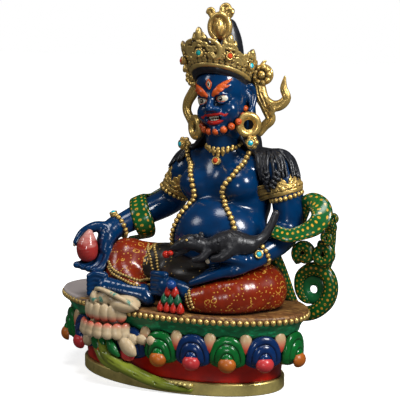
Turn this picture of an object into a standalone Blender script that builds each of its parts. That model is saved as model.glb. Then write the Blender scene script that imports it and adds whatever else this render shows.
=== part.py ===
"""A seated wealth deity with a jewel and a mongoose, on an oval lotus pedestal.

The figure and the pedestal are painted metal castings, and small stones are set into the figure's ornaments.
Metres, +Z up. The figure faces -Y, and the origin is at the middle of the pedestal's underside.
"""

import math

import bmesh
import bpy
from mathutils import Matrix, Vector
from mathutils.bvhtree import BVHTree

# Driving sizes of the pedestal
BASE_HEIGHT = 0.0715
RIM_LENGTH = 0.240
RIM_DEPTH = 0.124
FOOT_LENGTH = 0.196
FOOT_DEPTH = 0.110
FOOT_BAND_HEIGHT = 0.0105
FOOT_STEP = 0.003
LIP_HEIGHT = 0.004
BEAD_DIAMETER = 0.0054
BEAD_INSET = 0.0012
RIM_OVERHANG = 0.006
PETALS_ROUND = 20
PETALS_CARVED = 12
PETAL_HEIGHT = 0.027
PETAL_THICKNESS = 0.0054
BULB_HEIGHT = 0.013
BULB_WIDTH = 0.0155
STEM_DIAMETER = 0.0108
FOOT_PAD_LENGTH = 0.045

# Driving sizes of the figure
FIGURE_HEIGHT = 0.2585
SEAT_GAP = 0.0003
STONE_DIAMETER = 0.0046
STONE_GAP = 0.0003

# Resolution of the solids
FINE_GRAIN = 0.0014
FIGURE_TRIANGLES = 4700
OVAL_SIDES = 44

# The carver's unit: the figure is laid out as 258.5 of them from its seat to the tip of its crest.
UNIT = FIGURE_HEIGHT / 258.5
# The unit of the ornaments on the pedestal: the pad under the right foot is 45 of them long.
ORNAMENT_UNIT = FOOT_PAD_LENGTH / 45

# The axis of the body and of the head, in carver's units from the middle of the pedestal
BODY_X = 34.0
HEAD_X = 33.0
HEAD_Y = 9.0
HEAD_Z = 171.0

# The ten stones: a point near each in carver's units, and the way that it faces. A stone is set where a
# line from outside along that way meets the figure.
STONES = {
    "crown_stone_front": ((30.6, -26.0, 217.5), (0.0, -1.0, 0.1)),
    "crown_stone_left_front": ((55.0, -15.0, 215.0), (0.72, -0.69, 0.1)),
    "crown_stone_left_side": ((63.5, 6.0, 206.0), (1.0, -0.15, 0.1)),
    "crown_stone_right_front": ((9.0, -12.6, 209.5), (-0.72, -0.69, 0.1)),
    "crown_stone_right_side": ((2.2, 8.5, 201.0), (-1.0, -0.05, 0.1)),
    "earring_stone_left": ((68.2, -2.4, 141.5), (0.5, -0.86, 0.0)),
    "earring_stone_right": ((0.6, -3.4, 136.5), (-0.5, -0.86, 0.0)),
    "necklace_stone": ((37.4, -12.6, 126.5), (0.0, -0.95, 0.3)),
    "wrist_stone_left": ((90.8, -29.0, 52.5), (0.5, -0.8, 0.3)),
    "wrist_stone_right": ((-59.0, -19.0, 71.0), (-0.2, -0.2, 1.0)),
}
STONE_COLOURS = {
    "crown_stone_front": "teal",
    "crown_stone_left_front": "coral",
    "crown_stone_right_front": "coral",
    "necklace_stone": "coral",
}


def at(x, y, z):
    """A point given in carver's units from the middle of the seat, in metres."""
    return Vector((x * UNIT, y * UNIT, BASE_HEIGHT + z * UNIT))


def on_rim(x, y, z):
    """A point of the ornaments on the pedestal, in metres. It keeps its distance from the rim's front edge."""
    front = -RIM_DEPTH / 2 + (y + 62.0) * ORNAMENT_UNIT
    return Vector((x * ORNAMENT_UNIT, front, BASE_HEIGHT + z * ORNAMENT_UNIT))


def material(name, colour, roughness, metallic=0.0):
    made = bpy.data.materials.new(name)
    made.use_nodes = True
    shader = made.node_tree.nodes["Principled BSDF"]
    shader.inputs["Base Color"].default_value = (*colour, 1.0)
    shader.inputs["Roughness"].default_value = roughness
    shader.inputs["Metallic"].default_value = metallic
    return made


def clear_scene():
    for old in list(bpy.data.objects):
        bpy.data.objects.remove(old)


def add_object(name, bm, paint=None):
    bmesh.ops.recalc_face_normals(bm, faces=bm.faces)
    mesh = bpy.data.meshes.new(name)
    bm.to_mesh(mesh)
    bm.free()
    made = bpy.data.objects.new(name, mesh)
    bpy.context.scene.collection.objects.link(made)
    if paint:
        mesh.materials.append(paint)
    return made


def hide_cutter(cutter):
    cutter.hide_render = True
    cutter.display_type = "WIRE"


def bridge(bm, rings, closed_path=False):
    """Joins rings of points with quads, and caps the two ends unless the path closes on itself."""
    rows = [[bm.verts.new(point) for point in ring] for ring in rings]
    count = len(rows[0])
    spans = len(rows) if closed_path else len(rows) - 1
    for i in range(spans):
        lower, upper = rows[i], rows[(i + 1) % len(rows)]
        for k in range(count):
            after = (k + 1) % count
            bm.faces.new((lower[k], lower[after], upper[after], upper[k]))
    if not closed_path:
        bm.faces.new(list(reversed(rows[0])))
        bm.faces.new(rows[-1])


def ball(bm, centre, radii, turn=None, segments=14, rings=9, unit=UNIT):
    """An ellipsoid. centre is in metres, and radii are in the carver's unit."""
    place = Matrix.Translation(centre) @ (turn or Matrix.Identity(3)).to_4x4()
    size = Matrix.Diagonal((*[r * unit for r in radii], 1.0))
    bmesh.ops.create_uvsphere(bm, u_segments=segments, v_segments=rings, radius=1.0, matrix=place @ size)


def facing(direction, up=(0, 0, 1)):
    """A turn whose local -Y points along direction and whose local Z is as near up as it can be."""
    back = -Vector(direction).normalized()
    side = back.cross(Vector(up)).normalized()
    return Matrix((side, back, side.cross(back))).transposed()


def smooth_path(points, steps):
    """Points on a Catmull-Rom curve through points, each (position, radius)."""
    padded = [points[0], *points, points[-1]]
    path = []
    for i in range(1, len(padded) - 2):
        before, start, end, after = padded[i - 1 : i + 3]
        for k in range(steps):
            t = k / steps
            weights = (
                (-t + 2 * t**2 - t**3) / 2,
                (2 - 5 * t**2 + 3 * t**3) / 2,
                (t + 4 * t**2 - 3 * t**3) / 2,
                (-(t**2) + t**3) / 2,
            )
            knots = (before, start, end, after)
            place = sum((w * p[0] for w, p in zip(weights, knots)), Vector())
            path.append((place, sum(w * p[1] for w, p in zip(weights, knots))))
    return [*path, points[-1]]


def sweep(bm, stops, flat=1.0, side=(0, 0, 1), sides=10, steps=4, place_at=at, unit=UNIT):
    """A smooth tube with round ends through stops of (x, y, z, radius) in carver's units.
    flat is its thickness as a share of its width, which lies along side."""
    path = smooth_path([(place_at(x, y, z), r * unit) for x, y, z, r in stops], steps)
    places = [place for place, _ in path]
    rings = []
    last = len(path) - 1
    for i, (place, radius) in enumerate(path):
        tangent = (places[min(i + 1, last)] - places[max(i - 1, 0)]).normalized()
        across = Vector(side) - tangent * tangent.dot(Vector(side))
        if across.length < 0.1:
            across = tangent.orthogonal()
        across.normalize()
        normal = tangent.cross(across)
        bulges = ((0.0, 1.0),)
        if i == 0:
            bulges = ((-0.95, 0.3), (-0.7, 0.72), (0.0, 1.0))
        elif i == last:
            bulges = ((0.0, 1.0), (0.7, 0.72), (0.95, 0.3))
        for forward, share in bulges:
            middle = place + tangent * forward * radius * flat
            ring = []
            for k in range(sides):
                angle = 2 * math.pi * k / sides
                offset = across * math.cos(angle) + normal * math.sin(angle) * flat
                ring.append(middle + offset * radius * share)
            rings.append(ring)
    bridge(bm, rings)


def hoop(bm, centre, normal, radius, wire, stretch=1.0, segments=20, sides=8):
    """A ring of round wire. centre is in metres, and radius and wire are in carver's units."""
    turn = facing(normal)
    rings = []
    for i in range(segments):
        around = 2 * math.pi * i / segments
        outward = turn @ Vector((math.cos(around), 0, math.sin(around) * stretch))
        middle = centre + outward * radius * UNIT
        rings.append(
            [
                middle
                + (outward * math.cos(k) + turn @ Vector((0, math.sin(k), 0))) * wire * UNIT
                for k in [2 * math.pi * j / sides for j in range(sides)]
            ]
        )
    bridge(bm, rings, closed_path=True)


def spiral(bm, centre, outer, inner, start, turns, wire, flat=0.7):
    """A scroll in the XZ plane, wound inwards from the angle start, in carver's units and degrees."""
    x, y, z = centre
    stops = []
    count = max(6, int(abs(turns) * 8))
    for i in range(count + 1):
        share = i / count
        reach = outer + (inner - outer) * share
        angle = math.radians(start) + 2 * math.pi * turns * share
        stops.append((x + reach * math.cos(angle), y, z + reach * math.sin(angle), wire))
    sweep(bm, stops, flat=flat, side=(0, 1, 0), sides=8, steps=2)


def oval(half_length, half_depth, z, sides=OVAL_SIDES):
    angles = [2 * math.pi * k / sides for k in range(sides)]
    return [Vector((half_length * math.cos(a), half_depth * math.sin(a), z)) for a in angles]


def oval_stations(half_length, half_depth, count, start):
    """count points at equal steps round an oval from the angle start, with the outward normal at each."""
    fine = 1440
    angles = [start - 2 * math.pi * k / fine for k in range(fine + 1)]
    points = [Vector((half_length * math.cos(a), half_depth * math.sin(a), 0)) for a in angles]
    lengths = [0.0]
    for before, after in zip(points, points[1:]):
        lengths.append(lengths[-1] + (after - before).length)
    stations = []
    index = 0
    for k in range(count):
        while lengths[index] < lengths[-1] * k / count:
            index += 1
        point = points[index]
        normal = Vector((point.x / half_length**2, point.y / half_depth**2, 0)).normalized()
        stations.append((point, normal))
    return stations


def petal_zone():
    """Half length, half depth and middle height of the oval on which the petals are set."""
    shrink = RIM_OVERHANG + PETAL_THICKNESS / 2
    top = BASE_HEIGHT - LIP_HEIGHT - BEAD_DIAMETER - RIM_OVERHANG
    return RIM_LENGTH / 2 - shrink, RIM_DEPTH / 2 - shrink, top - PETAL_HEIGHT / 2


def pedestal_body(bm):
    """The turned oval: gold foot band, red waist, the belt behind the petals, green cove and rim."""
    half_length, half_depth = RIM_LENGTH / 2, RIM_DEPTH / 2
    foot_length, foot_depth = FOOT_LENGTH / 2, FOOT_DEPTH / 2
    petal_length, petal_depth, petal_z = petal_zone()
    petal_top = petal_z + PETAL_HEIGHT / 2
    petal_foot = petal_z - PETAL_HEIGHT / 2
    waist_z = FOOT_BAND_HEIGHT + (petal_foot - FOOT_BAND_HEIGHT) * 0.45
    lip_z = BASE_HEIGHT - LIP_HEIGHT
    profile = [
        (foot_length, foot_depth, 0),
        (foot_length, foot_depth, FOOT_BAND_HEIGHT),
        (foot_length - FOOT_STEP, foot_depth - FOOT_STEP, FOOT_BAND_HEIGHT + FOOT_STEP / 3),
        (foot_length - 2 * FOOT_STEP, foot_depth - 2 * FOOT_STEP, waist_z),
        (foot_length - FOOT_STEP, foot_depth - FOOT_STEP, petal_foot),
        (petal_length - FOOT_STEP, petal_depth - FOOT_STEP, petal_z),
        (petal_length, petal_depth, petal_top),
        (half_length - RIM_OVERHANG / 2, half_depth - RIM_OVERHANG / 2, lip_z - BEAD_DIAMETER),
        (half_length - BEAD_INSET, half_depth - BEAD_INSET, lip_z - BEAD_DIAMETER),
        (half_length, half_depth, lip_z - BEAD_DIAMETER / 2),
        (half_length - BEAD_INSET, half_depth - BEAD_INSET, lip_z),
        (half_length, half_depth, lip_z),
        (half_length, half_depth, BASE_HEIGHT),
    ]
    bridge(bm, [oval(*row) for row in profile])


def petals(bm):
    """Down-turned lotus petals on the front and the two ends, each a stepped shell with a round bulb at its tip."""
    half_length, half_depth, middle = petal_zone()
    start = math.radians(-2)
    stations = oval_stations(half_length, half_depth, PETALS_ROUND, start)[:PETALS_CARVED]
    pitch = math.pi * (1.5 * (half_length + half_depth) - math.sqrt(half_length * half_depth)) / PETALS_ROUND
    for point, normal in stations:
        turn = facing(normal)
        out = normal * PETAL_THICKNESS
        for share, reach, rings in ((1.08, 0.0, 5), (0.72, 0.45, 4)):
            drop = Vector((0, 0, middle - PETAL_HEIGHT * (1 - share) * 0.34))
            radii = (pitch * 0.5 * share, PETAL_THICKNESS * 0.9, PETAL_HEIGHT * 0.5 * share)
            place = Matrix.Translation(point + drop + out * reach) @ turn.to_4x4()
            size = Matrix.Diagonal((*radii, 1.0))
            bmesh.ops.create_uvsphere(bm, u_segments=8, v_segments=rings, radius=1.0, matrix=place @ size)
        bulb = point + Vector((0, 0, middle - PETAL_HEIGHT * 0.34)) + out * 0.75
        size = Matrix.Diagonal((BULB_WIDTH / 2, PETAL_THICKNESS, BULB_HEIGHT / 2, 1.0))
        place = Matrix.Translation(bulb) @ turn.to_4x4()
        bmesh.ops.create_uvsphere(bm, u_segments=6, v_segments=4, radius=1.0, matrix=place @ size)


def foot_pad(bm, swell):
    """The domed lotus head that the right foot stands on."""
    radii = (22.5 + swell, 12.5 + swell, 13.5 + swell)
    ball(bm, on_rim(-32, -57, 1), radii, segments=14, rings=7, unit=ORNAMENT_UNIT)


def foot_lotus(bm):
    """The small lotus under the right foot: a pad on the rim, a raised and a hanging tier of petals."""
    foot_pad(bm, 0.0)
    for k in range(5):
        turn = math.radians(-126 + 24 * k)
        x, y = -38 + 22 * math.cos(turn), -52 + 15 * math.sin(turn)
        lean = facing((math.cos(turn), math.sin(turn), 0))
        ball(bm, on_rim(x, y, -9), (5.6, 4.0, 8.6), lean, segments=6, rings=5, unit=ORNAMENT_UNIT)
    for k in range(5):
        turn = math.radians(-138 + 26 * k)
        x, y = -43 + 25 * math.cos(turn), -50 + 19 * math.sin(turn)
        lean = facing((math.cos(turn), math.sin(turn), 0.35))
        ball(bm, on_rim(x, y, -24), (7.0, 4.2, 8.8), lean, segments=6, rings=5, unit=ORNAMENT_UNIT)
    ball(bm, on_rim(-40, -54, -18), (17, 12, 16), segments=10, rings=6, unit=ORNAMENT_UNIT)
    ball(bm, on_rim(-14, -62, -30), (8, 5, 7), segments=8, rings=5, unit=ORNAMENT_UNIT)
    ball(bm, on_rim(-64, -50, -28), (7, 6, 7), segments=8, rings=5, unit=ORNAMENT_UNIT)


def stem(bm):
    """The lotus stalk, which runs down across the petals to the foot band."""
    r = STEM_DIAMETER / 2 / ORNAMENT_UNIT
    low = -BASE_HEIGHT / ORNAMENT_UNIT
    foot = (RIM_DEPTH - FOOT_DEPTH) / 2 / ORNAMENT_UNIT - 62.0
    stops = [
        (-46, -61, -34, r * 0.7),
        (-40, -64, -44, r * 0.9),
        (-28, -66, low + 22, r),
        (-8, foot - 6, low + 14, r),
        (10, foot - 2, low + 8, r * 0.9),
        (26, foot + 1.5, low + 5.4, r * 0.7),
        (38, foot + 3, low + 5.0, r * 0.55),
    ]
    sweep(bm, stops, sides=7, steps=1, place_at=on_rim, unit=ORNAMENT_UNIT)


def jewel_pile(bm):
    """The heap of offerings in front of the left foot: rows of pointed gems with a round one on top."""
    for count, height, y in ((4, 4, -57), (3, 10, -56), (2, 16, -55)):
        for k in range(count):
            x = 22 + (k - (count - 1) / 2) * 6.4
            place = Matrix.Translation(on_rim(x, y, height))
            bmesh.ops.create_cone(bm, cap_ends=True, segments=6, radius1=3.7 * ORNAMENT_UNIT,
                                  radius2=0.8 * ORNAMENT_UNIT, depth=9 * ORNAMENT_UNIT, matrix=place)
    ball(bm, on_rim(22, -56, 23), (4.2, 4.2, 4.2), segments=8, rings=5, unit=ORNAMENT_UNIT)


def build_pedestal(paint):
    bm = bmesh.new()
    pedestal_body(bm)
    pedestal = add_object("lotus_base", bm, paint)
    bm = bmesh.new()
    petals(bm)
    foot_lotus(bm)
    stem(bm)
    jewel_pile(bm)
    carving = add_object("carving", bm)
    hide_cutter(carving)
    union = pedestal.modifiers.new("carving", "BOOLEAN")
    union.operation = "UNION"
    union.solver = "EXACT"
    union.use_self = True
    union.object = carving
    return pedestal


def torso(bm):
    """Hips, the large belly, chest, shoulders and neck."""
    ball(bm, at(BODY_X + 4, 21, 12), (40, 27, 22), segments=20, rings=12)
    ball(bm, at(BODY_X + 2, 4, 59), (43, 37, 36), segments=24, rings=16)
    ball(bm, at(BODY_X + 1, 16, 100), (36, 27, 32), segments=20, rings=12)
    ball(bm, at(BODY_X + 20, 4, 104), (19, 17, 17))
    ball(bm, at(BODY_X - 18, 4, 102), (18, 16, 16))
    ball(bm, at(BODY_X + 19, 18, 86), (23, 22, 25))
    ball(bm, at(BODY_X + 1, 20, 121), (48, 19, 15), segments=20)
    sweep(bm, [(34, 18, 122, 19), (34, 14, 140, 16.5), (34, 13, 154, 16)], sides=14)


def limb(bm, stops, sides=12):
    sweep(bm, stops, sides=sides, steps=3)


def arms(bm):
    limb(bm, [(82, 21, 116, 16), (92, 21, 94, 14), (94, 18, 68, 12.5), (93, 0, 57, 11), (83, -21, 47.5, 8.8)])
    limb(bm, [(-6, 21, 110, 15), (-19, 26, 94, 13.5), (-28, 27, 80, 12.5), (-43, 4, 70, 11.2), (-58, -20, 59, 9.6)])


def left_hand(bm):
    """Palm up under the mongoose, with the fingers reaching to the figure's right."""
    sweep(bm, [(84, -21, 47, 8.4), (75, -30, 43, 9.6), (66, -34, 39, 9)], flat=0.62, side=(0.3, -0.8, 0.3))
    sweep(bm, [(78, -34, 46, 5.2), (65, -39, 48, 4.3), (52, -41, 44.5, 3.4)])
    for k in range(4):
        tip_x, tip_y, tip_z = 36 + 2.5 * k, -46 + 5.4 * k, 25 + 2.4 * k
        stops = [(70, -38 + 4.6 * k, 38 + k, 4.4), (54, -43 + 5 * k, 32 + 1.6 * k, 3.9), (tip_x, tip_y, tip_z, 3.0)]
        sweep(bm, stops, sides=8)


def right_hand(bm):
    """Palm turned forwards over the knee, with the jewel held between thumb and fingers."""
    sweep(bm, [(-58, -20, 60, 8.8), (-60, -31, 52, 10.5), (-61, -35, 42, 10)], flat=0.6, side=(1, -0.5, 0))
    sweep(bm, [(-60, -29, 61, 5), (-71, -38, 61, 4.4), (-77, -46, 54, 3.9), (-79, -49, 47, 3.2)], sides=8)
    for k in range(4):
        x = -53 - 6.2 * k
        stops = [(x, -38, 38, 4.4), (x - 1, -45, 29, 4.0), (x - 1.5, -51, 25 + k, 3.2)]
        sweep(bm, stops, sides=8)
    sweep(bm, [(-68, -47, 36, 8.0), (-69, -48, 45, 9.6), (-68, -47, 55, 6.6), (-67, -46, 60, 2.6)], sides=12)


def legs(bm):
    """The right leg hangs to the small lotus, and the left lies folded on the seat."""
    limb(bm, [(22, 12, 20, 25), (-14, -8, 26, 21), (-42, -24, 33, 17.5)], sides=14)
    limb(bm, [(-43, -25, 31, 17.5), (-39, -35, 22, 17.5), (-24, -43, 12, 15)], sides=14)
    sweep(bm, [(-13, -48, 10, 8.5), (-28, -54, 13.5, 7.8), (-43, -60, 16.5, 8.8)], flat=0.8, side=(0, 0.3, 1))
    for k in range(5):
        z = 9.0 + 3.9 * k
        sweep(bm, [(-44, -60, z, 3.0), (-52, -63.5, z - 0.5 * k + 1, 2.9), (-57, -65, z - 0.5 * k, 2.6)], sides=8)
    limb(bm, [(56, 14, 14, 25), (72, 10, 15, 21.5), (80, 0, 16, 19)], sides=14)
    limb(bm, [(80, -3, 15, 19), (69, -22, 14.5, 19), (54, -35, 12, 16), (38, -42, 10, 12)], sides=14)
    sweep(bm, [(38, -42, 12, 8), (26, -45, 17, 8), (10, -45, 20, 8.4)], flat=0.75, side=(0, 0.5, 1))
    for k in range(5):
        z = 13 + 4 * k
        sweep(bm, [(10, -46, z, 2.9), (2, -46, z + 0.5, 2.7), (-3, -45, z, 2.4)], sides=8)


def seat_folds(bm):
    """Cloth spread over the seat around the legs, and the sash across the lap."""
    ball(bm, at(38, 4, 2), (76, 44, 6.5), segments=24)
    ball(bm, at(66, -24, 3), (44, 28, 4.5), segments=20)
    ball(bm, at(-8, -14, 3), (46, 30, 6), segments=20)
    sweep(bm, [(24, 4, 26, 27), (-2, -4, 27, 25), (-16, -11, 27, 23)], sides=14)
    ball(bm, at(24, -14, 30), (32, 26, 17), segments=16)


def mongoose(bm):
    """A small mongoose lying on the left hand, spitting out a jewel."""
    sweep(bm, [(80, -26, 58, 8), (66, -33, 60, 11.5), (50, -37, 56, 8), (42, -41, 57, 6.2)], sides=12)
    sweep(bm, [(42, -42, 58, 6.4), (34, -46, 60, 6.8), (26, -49, 56, 4.6), (20, -51, 52.5, 2.6)], sides=10)
    sweep(bm, [(30, -47, 54, 3.4), (22, -50, 48.5, 2.4)], sides=8)
    ball(bm, at(15.5, -52, 48.5), (4.0, 4.0, 3.6))
    for x, y in ((40, -37), (41, -47)):
        ball(bm, at(x, y, 65), (2.4, 2.0, 3.0))
    sweep(bm, [(80, -26, 60, 6), (88, -18, 64, 4), (93, -12, 74, 3.4), (96, -9, 84, 3.2)], sides=8)
    sweep(bm, [(50, -43, 53, 4), (46, -47, 48, 3.2), (40, -49, 46, 2.6)], sides=8)
    sweep(bm, [(70, -38, 56, 6), (64, -45, 50, 4), (57, -46, 48, 3)], sides=8)


def head(bm):
    """Head with brow, nose, jaw, ears and a short curled beard, under a close cap of hair."""
    lean = Matrix.Rotation(math.radians(-6), 3, "Y")
    ball(bm, at(HEAD_X + 2, HEAD_Y, HEAD_Z + 4), (22.5, 26, 28), lean, segments=20, rings=14)
    ball(bm, at(HEAD_X + 5, HEAD_Y - 5, HEAD_Z - 10), (18, 18, 14), lean, segments=16)
    ball(bm, at(HEAD_X + 6.5, HEAD_Y - 14, HEAD_Z - 18), (8.5, 7, 5.5), lean)
    sweep(bm, [(35.6, -16, 184, 3.0), (37.2, -20, 177, 3.4), (38.2, -22, 171.5, 4.2)])
    for side in (-1, 1):
        ball(bm, at(38 + side * 4.6, -19, 171), (2.8, 2.8, 2.4), segments=8, rings=6)
        ball(bm, at(38 + side * 12, -11, 168 + side), (7, 6, 7), lean)
        ball(bm, at(36 + side * 10.5, -14.2, 185 + side), (7.2, 4.2, 2.8), lean)
        ear_z = 178 + side * 2.5
        ball(bm, at(HEAD_X + 1 + side * 24.5, 13, ear_z), (3.4, 5.0, 8.6), segments=12)
        ball(bm, at(HEAD_X + 1.5 + side * 24.5, 12, ear_z - 11), (2.8, 3.6, 6), segments=12)
    sweep(bm, [(30, -17, 162, 2.6), (39.5, -19.5, 163.2, 3.4), (48, -15.5, 164.2, 2.6)])
    for k in range(9):
        around = math.radians(-90 + (k - 4) * 22)
        x = HEAD_X + 6 + 20 * math.cos(around)
        y = HEAD_Y - 5 + 19 * math.sin(around)
        ball(bm, at(x, y, HEAD_Z - 18.5 + 0.8 * (k - 4) ** 2), (2.9, 2.9, 2.9), segments=8, rings=6)


def hair(bm):
    """Hair cap, top knot, and the long locks that fall over both shoulders and the back."""
    ball(bm, at(HEAD_X + 1, HEAD_Y + 4, HEAD_Z + 20), (24.5, 26, 19), segments=20)
    sweep(bm, [(34, 14, 196, 18), (36, 17, 212, 15), (37, 19, 227, 11.5), (36, 18, 240, 8)], sides=12)
    sweep(bm, [(34, 30, 178, 22), (34, 33, 150, 24), (34, 36, 128, 28), (34, 38, 104, 22), (34, 38, 84, 12)],
          flat=0.42, side=(1, 0, 0), sides=14)
    left = [(52, 27, 150, 10), (72, 22, 132, 16), (89, 16, 118, 16), (92, 8, 102, 9)]
    right = [(16, 27, 142, 9), (-2, 23, 126, 12), (-14, 19, 114, 9)]
    for stops in (left, right):
        sweep(bm, stops, flat=0.5, side=(0.2, 1, 0.1), sides=12)


def crown_leaf(bm, around, height, width, foot_z):
    """One pierced leaf of the crown: stacked lobes that lean outwards, with a bud on top."""
    around = math.radians(around)
    outward = Vector((math.sin(around), -math.cos(around), 0))
    turn = facing(outward + Vector((0, 0, 0.12)))
    foot = Vector((HEAD_X - 1.5 + outward.x * 27.5, HEAD_Y + outward.y * 28.5, foot_z))
    for rise, half, tall, lean in ((0.16, 1.0, 0.2, 0.5), (0.4, 0.8, 0.2, 2.0), (0.62, 0.52, 0.16, 4), (0.86, 0.3, 0.2, 7)):
        middle = foot + outward * lean + Vector((0, 0, height * rise))
        ball(bm, at(*middle), (width * half, 3.0, height * tall), turn, segments=12)
    across = Vector((-outward.y, outward.x, 0))
    for side in (-1, 1):
        middle = foot + outward * 1.5 + across * side * width * 0.86 + Vector((0, 0, height * 0.36))
        ball(bm, at(*middle), (width * 0.3, 2.6, height * 0.17), turn, segments=10)


def crown(bm):
    hoop(bm, at(HEAD_X, HEAD_Y + 1, HEAD_Z + 26), (-0.115, 0.42, 1), 27, 3.2, stretch=1.05, segments=28)
    crown_leaf(bm, 0, 31, 11.5, HEAD_Z + 38)
    crown_leaf(bm, 47, 26, 11, HEAD_Z + 38)
    crown_leaf(bm, 92, 22, 10, HEAD_Z + 29)
    crown_leaf(bm, -47, 20, 11, HEAD_Z + 34)
    crown_leaf(bm, -92, 19, 10, HEAD_Z + 25)
    crest(bm)


def crest(bm):
    """The framed jewel in front of the top knot, with three curls above it."""
    ball(bm, at(34.5, 8, 238), (11, 4.5, 12), segments=14)
    hoop(bm, at(34, 5, 238), (0, -1, 0), 8.6, 2.4, stretch=1.15, segments=16)
    ball(bm, at(34, 4, 237), (4, 3, 6))
    sweep(bm, [(36, 7, 246, 3.4), (36.5, 7, 252, 3.0), (38, 7, 255.8, 2.7), (41, 7, 254, 2.4)], flat=0.8)
    for side in (-1, 1):
        x = 36 + side * 6
        stops = [(x, 7, 244, 3.2), (x + side * 4, 7, 249, 2.8), (x + side * 6, 7, 246, 2.4)]
        sweep(bm, stops, flat=0.8)


def head_ribbons(bm):
    """Rosettes above the ears and flame-like ribbons that wave out beside them, and the wheel earrings."""
    for x, z, radius in ((69.2, 198, 8.6), (2, 193, 7.4)):
        ball(bm, at(x, 20, z), (radius, 4, radius), segments=12)
        hoop(bm, at(x, 16.5, z - 0.5), (0, -1, 0), radius * 0.7, 2.2, segments=14)
    ribbons = (
        [(64, 20, 190, 4.6), (67, 20, 178, 4.8), (77, 20, 171, 4.4), (86, 20, 173, 3.8), (91, 20, 179, 3.2),
         (88.5, 19, 187, 2.4), (89, 19, 196, 1.6)],
        [(68, 20, 178, 4.2), (75, 21, 167, 3.8), (77.5, 21, 160, 3.4), (70, 21, 155, 3.2), (66, 20, 148, 3)],
        [(4, 21, 187, 4.2), (-1, 21, 179, 4), (-6, 21, 171, 3.6), (-7, 21, 163, 3.4), (-3, 21, 155, 3.2),
         (0, 20, 148, 3)],
    )
    for stops in ribbons:
        sweep(bm, stops, flat=0.75, side=(1, 0, 0.4), sides=8)
    for side in (1, -1):
        middle = 33
        wheel = at(middle + 4 + side * 26, 4, 153.5 + side * 2.5)
        hoop(bm, wheel, (side * 0.588, -0.809, 0), 8.4, 2.7, segments=18)
        knot = at(middle + 1.5 + side * 33, 2, 139 + side * 2.5)
        ball(bm, knot, (6, 4.6, 6), segments=10)
        ball(bm, at(middle + side * 27, 17, 166 + side * 2.5), (5, 9, 12), segments=10)


def scarf(bm):
    """The long scarf: a broad loop at the left arm, the scrolled tail beside the seat, and the right side's turns."""
    loop = [
        (98, 32, 70, 6), (104, 26, 80, 7), (108, 22, 90, 7.5), (117, 19, 93, 8), (127, 14, 90, 7.5),
        (133, 8, 83, 7), (130, 2, 75, 7), (119, -4, 69.4, 7), (108, -11, 66.5, 7), (96, -13, 69, 7),
    ]
    sweep(bm, loop, flat=0.3, side=(0.25, 0.35, 1), sides=10)
    tail = [
        (76, 22, 44, 7), (80.7, 24, 32, 7.5), (83, 30, 19, 7.5), (86, 36, 4, 7), (90, 40, -8, 6.5),
        (97.2, 41, -12.4, 6), (110, 41, -9.5, 5.8), (122.5, 41, 0.6, 5.8), (127, 41, 14.4, 5.6),
        (122, 41, 28, 5.4), (108, 41, 30, 5), (96, 41, 22, 4.6), (93, 41, 10.5, 4.4), (99, 41, 1, 4.2),
        (110, 41, 0, 4), (116, 41, 8, 3.6),
    ]
    sweep(bm, tail, flat=0.7, side=(0.0, 1, 0.0), sides=10)
    for x in (97.8, 111, 123.5):
        hoop(bm, at(x, 36, 46.5), (0, -1, 0), 5.4, 3.2, segments=12)
    ball(bm, at(110, 37, 40), (18, 4, 6), segments=14)
    sweep(bm, [(126, 34, 52, 4.6), (128, 31, 62, 4.8), (131, 27, 72, 4.8), (130, 22, 82, 4)], flat=0.7, sides=8)
    right = [
        (-14, 38, 100, 8), (-32, 38, 88, 8), (-46, 26, 80, 7.5), (-53, 14, 82, 6), (-47, 2, 83, 8),
        (-38, -9, 74, 9), (-33, -8, 60, 9), (-40, 4, 50, 7), (-56, 12, 44, 6.5), (-62, 10, 30, 6), (-58, 0, 14, 5),
    ]
    sweep(bm, right, flat=0.3, side=(1, 0.2, -0.3), sides=10)


def jewellery(bm, skin):
    """Necklace, garlands, armlets and bracelets as plain raised cords, each laid on the skin."""
    for radius, wire, z in ((17.5, 3.0, 138), (19, 2.4, 132)):
        hoop(bm, at(34, 12, z), (0, -0.35, 1), radius, wire, stretch=0.95, segments=24)
    for spread in (-2, -1, 0, 1, 2):
        ball(bm, lay(skin, 37 + spread * 6, 129 - 6 * (2 - abs(spread)) + 4), (3.6, 2.6, 4.4), segments=8, rings=6)
    for route in (
        [(63, 135), (55, 124), (47, 114), (40, 106), (36, 96), (39, 84), (46, 70), (50, 56), (50, 44)],
        [(2, 133), (3, 122), (5, 108), (7, 96), (8, 86), (4, 76), (-2, 64), (-4, 52), (-2, 38)],
    ):
        stops = [lay(skin, x, z) for x, z in route]
        sweep_metres(bm, stops, 2.4)
    hoop(bm, at(92.5, 20.5, 95), (0.2, -0.05, 1), 13.6, 2.2, segments=20)
    hoop(bm, at(-22, 26, 89), (-0.5, 0.1, 1), 13.2, 2.0, segments=20)
    hoop(bm, at(85.5, -15.5, 50), (0.4, 0.84, 0.38), 9.6, 2.1, segments=18)
    hoop(bm, at(-55.5, -15.5, 61), (0.47, 0.81, 0.37), 10.2, 2.1, segments=18)
    ball(bm, at(89, -23, 51.5), (4.2, 4.2, 4.2), segments=10)
    ball(bm, at(-57, -18, 68.5), (4.2, 4.2, 3.4), segments=10)
    hoop(bm, at(84, 19, 112), (0.5, -0.2, 1), 16.0, 2.8, segments=20)
    hoop(bm, at(-12, 23, 102), (-0.6, 0.2, 1), 14.2, 2.0, segments=20)


def lay(tree, x, z):
    """The point of the skin's front at x and z."""
    start = at(x, -200, z)
    hit = tree.ray_cast(start, Vector((0, 1, 0)))[0]
    return hit if hit else at(x, 0, z)


def sweep_metres(bm, places, radius):
    """A cord through places given in metres."""
    stops = [(p.x / UNIT, p.y / UNIT, (p.z - BASE_HEIGHT) / UNIT, radius) for p in places]
    sweep(bm, stops, sides=8, steps=3)


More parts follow.
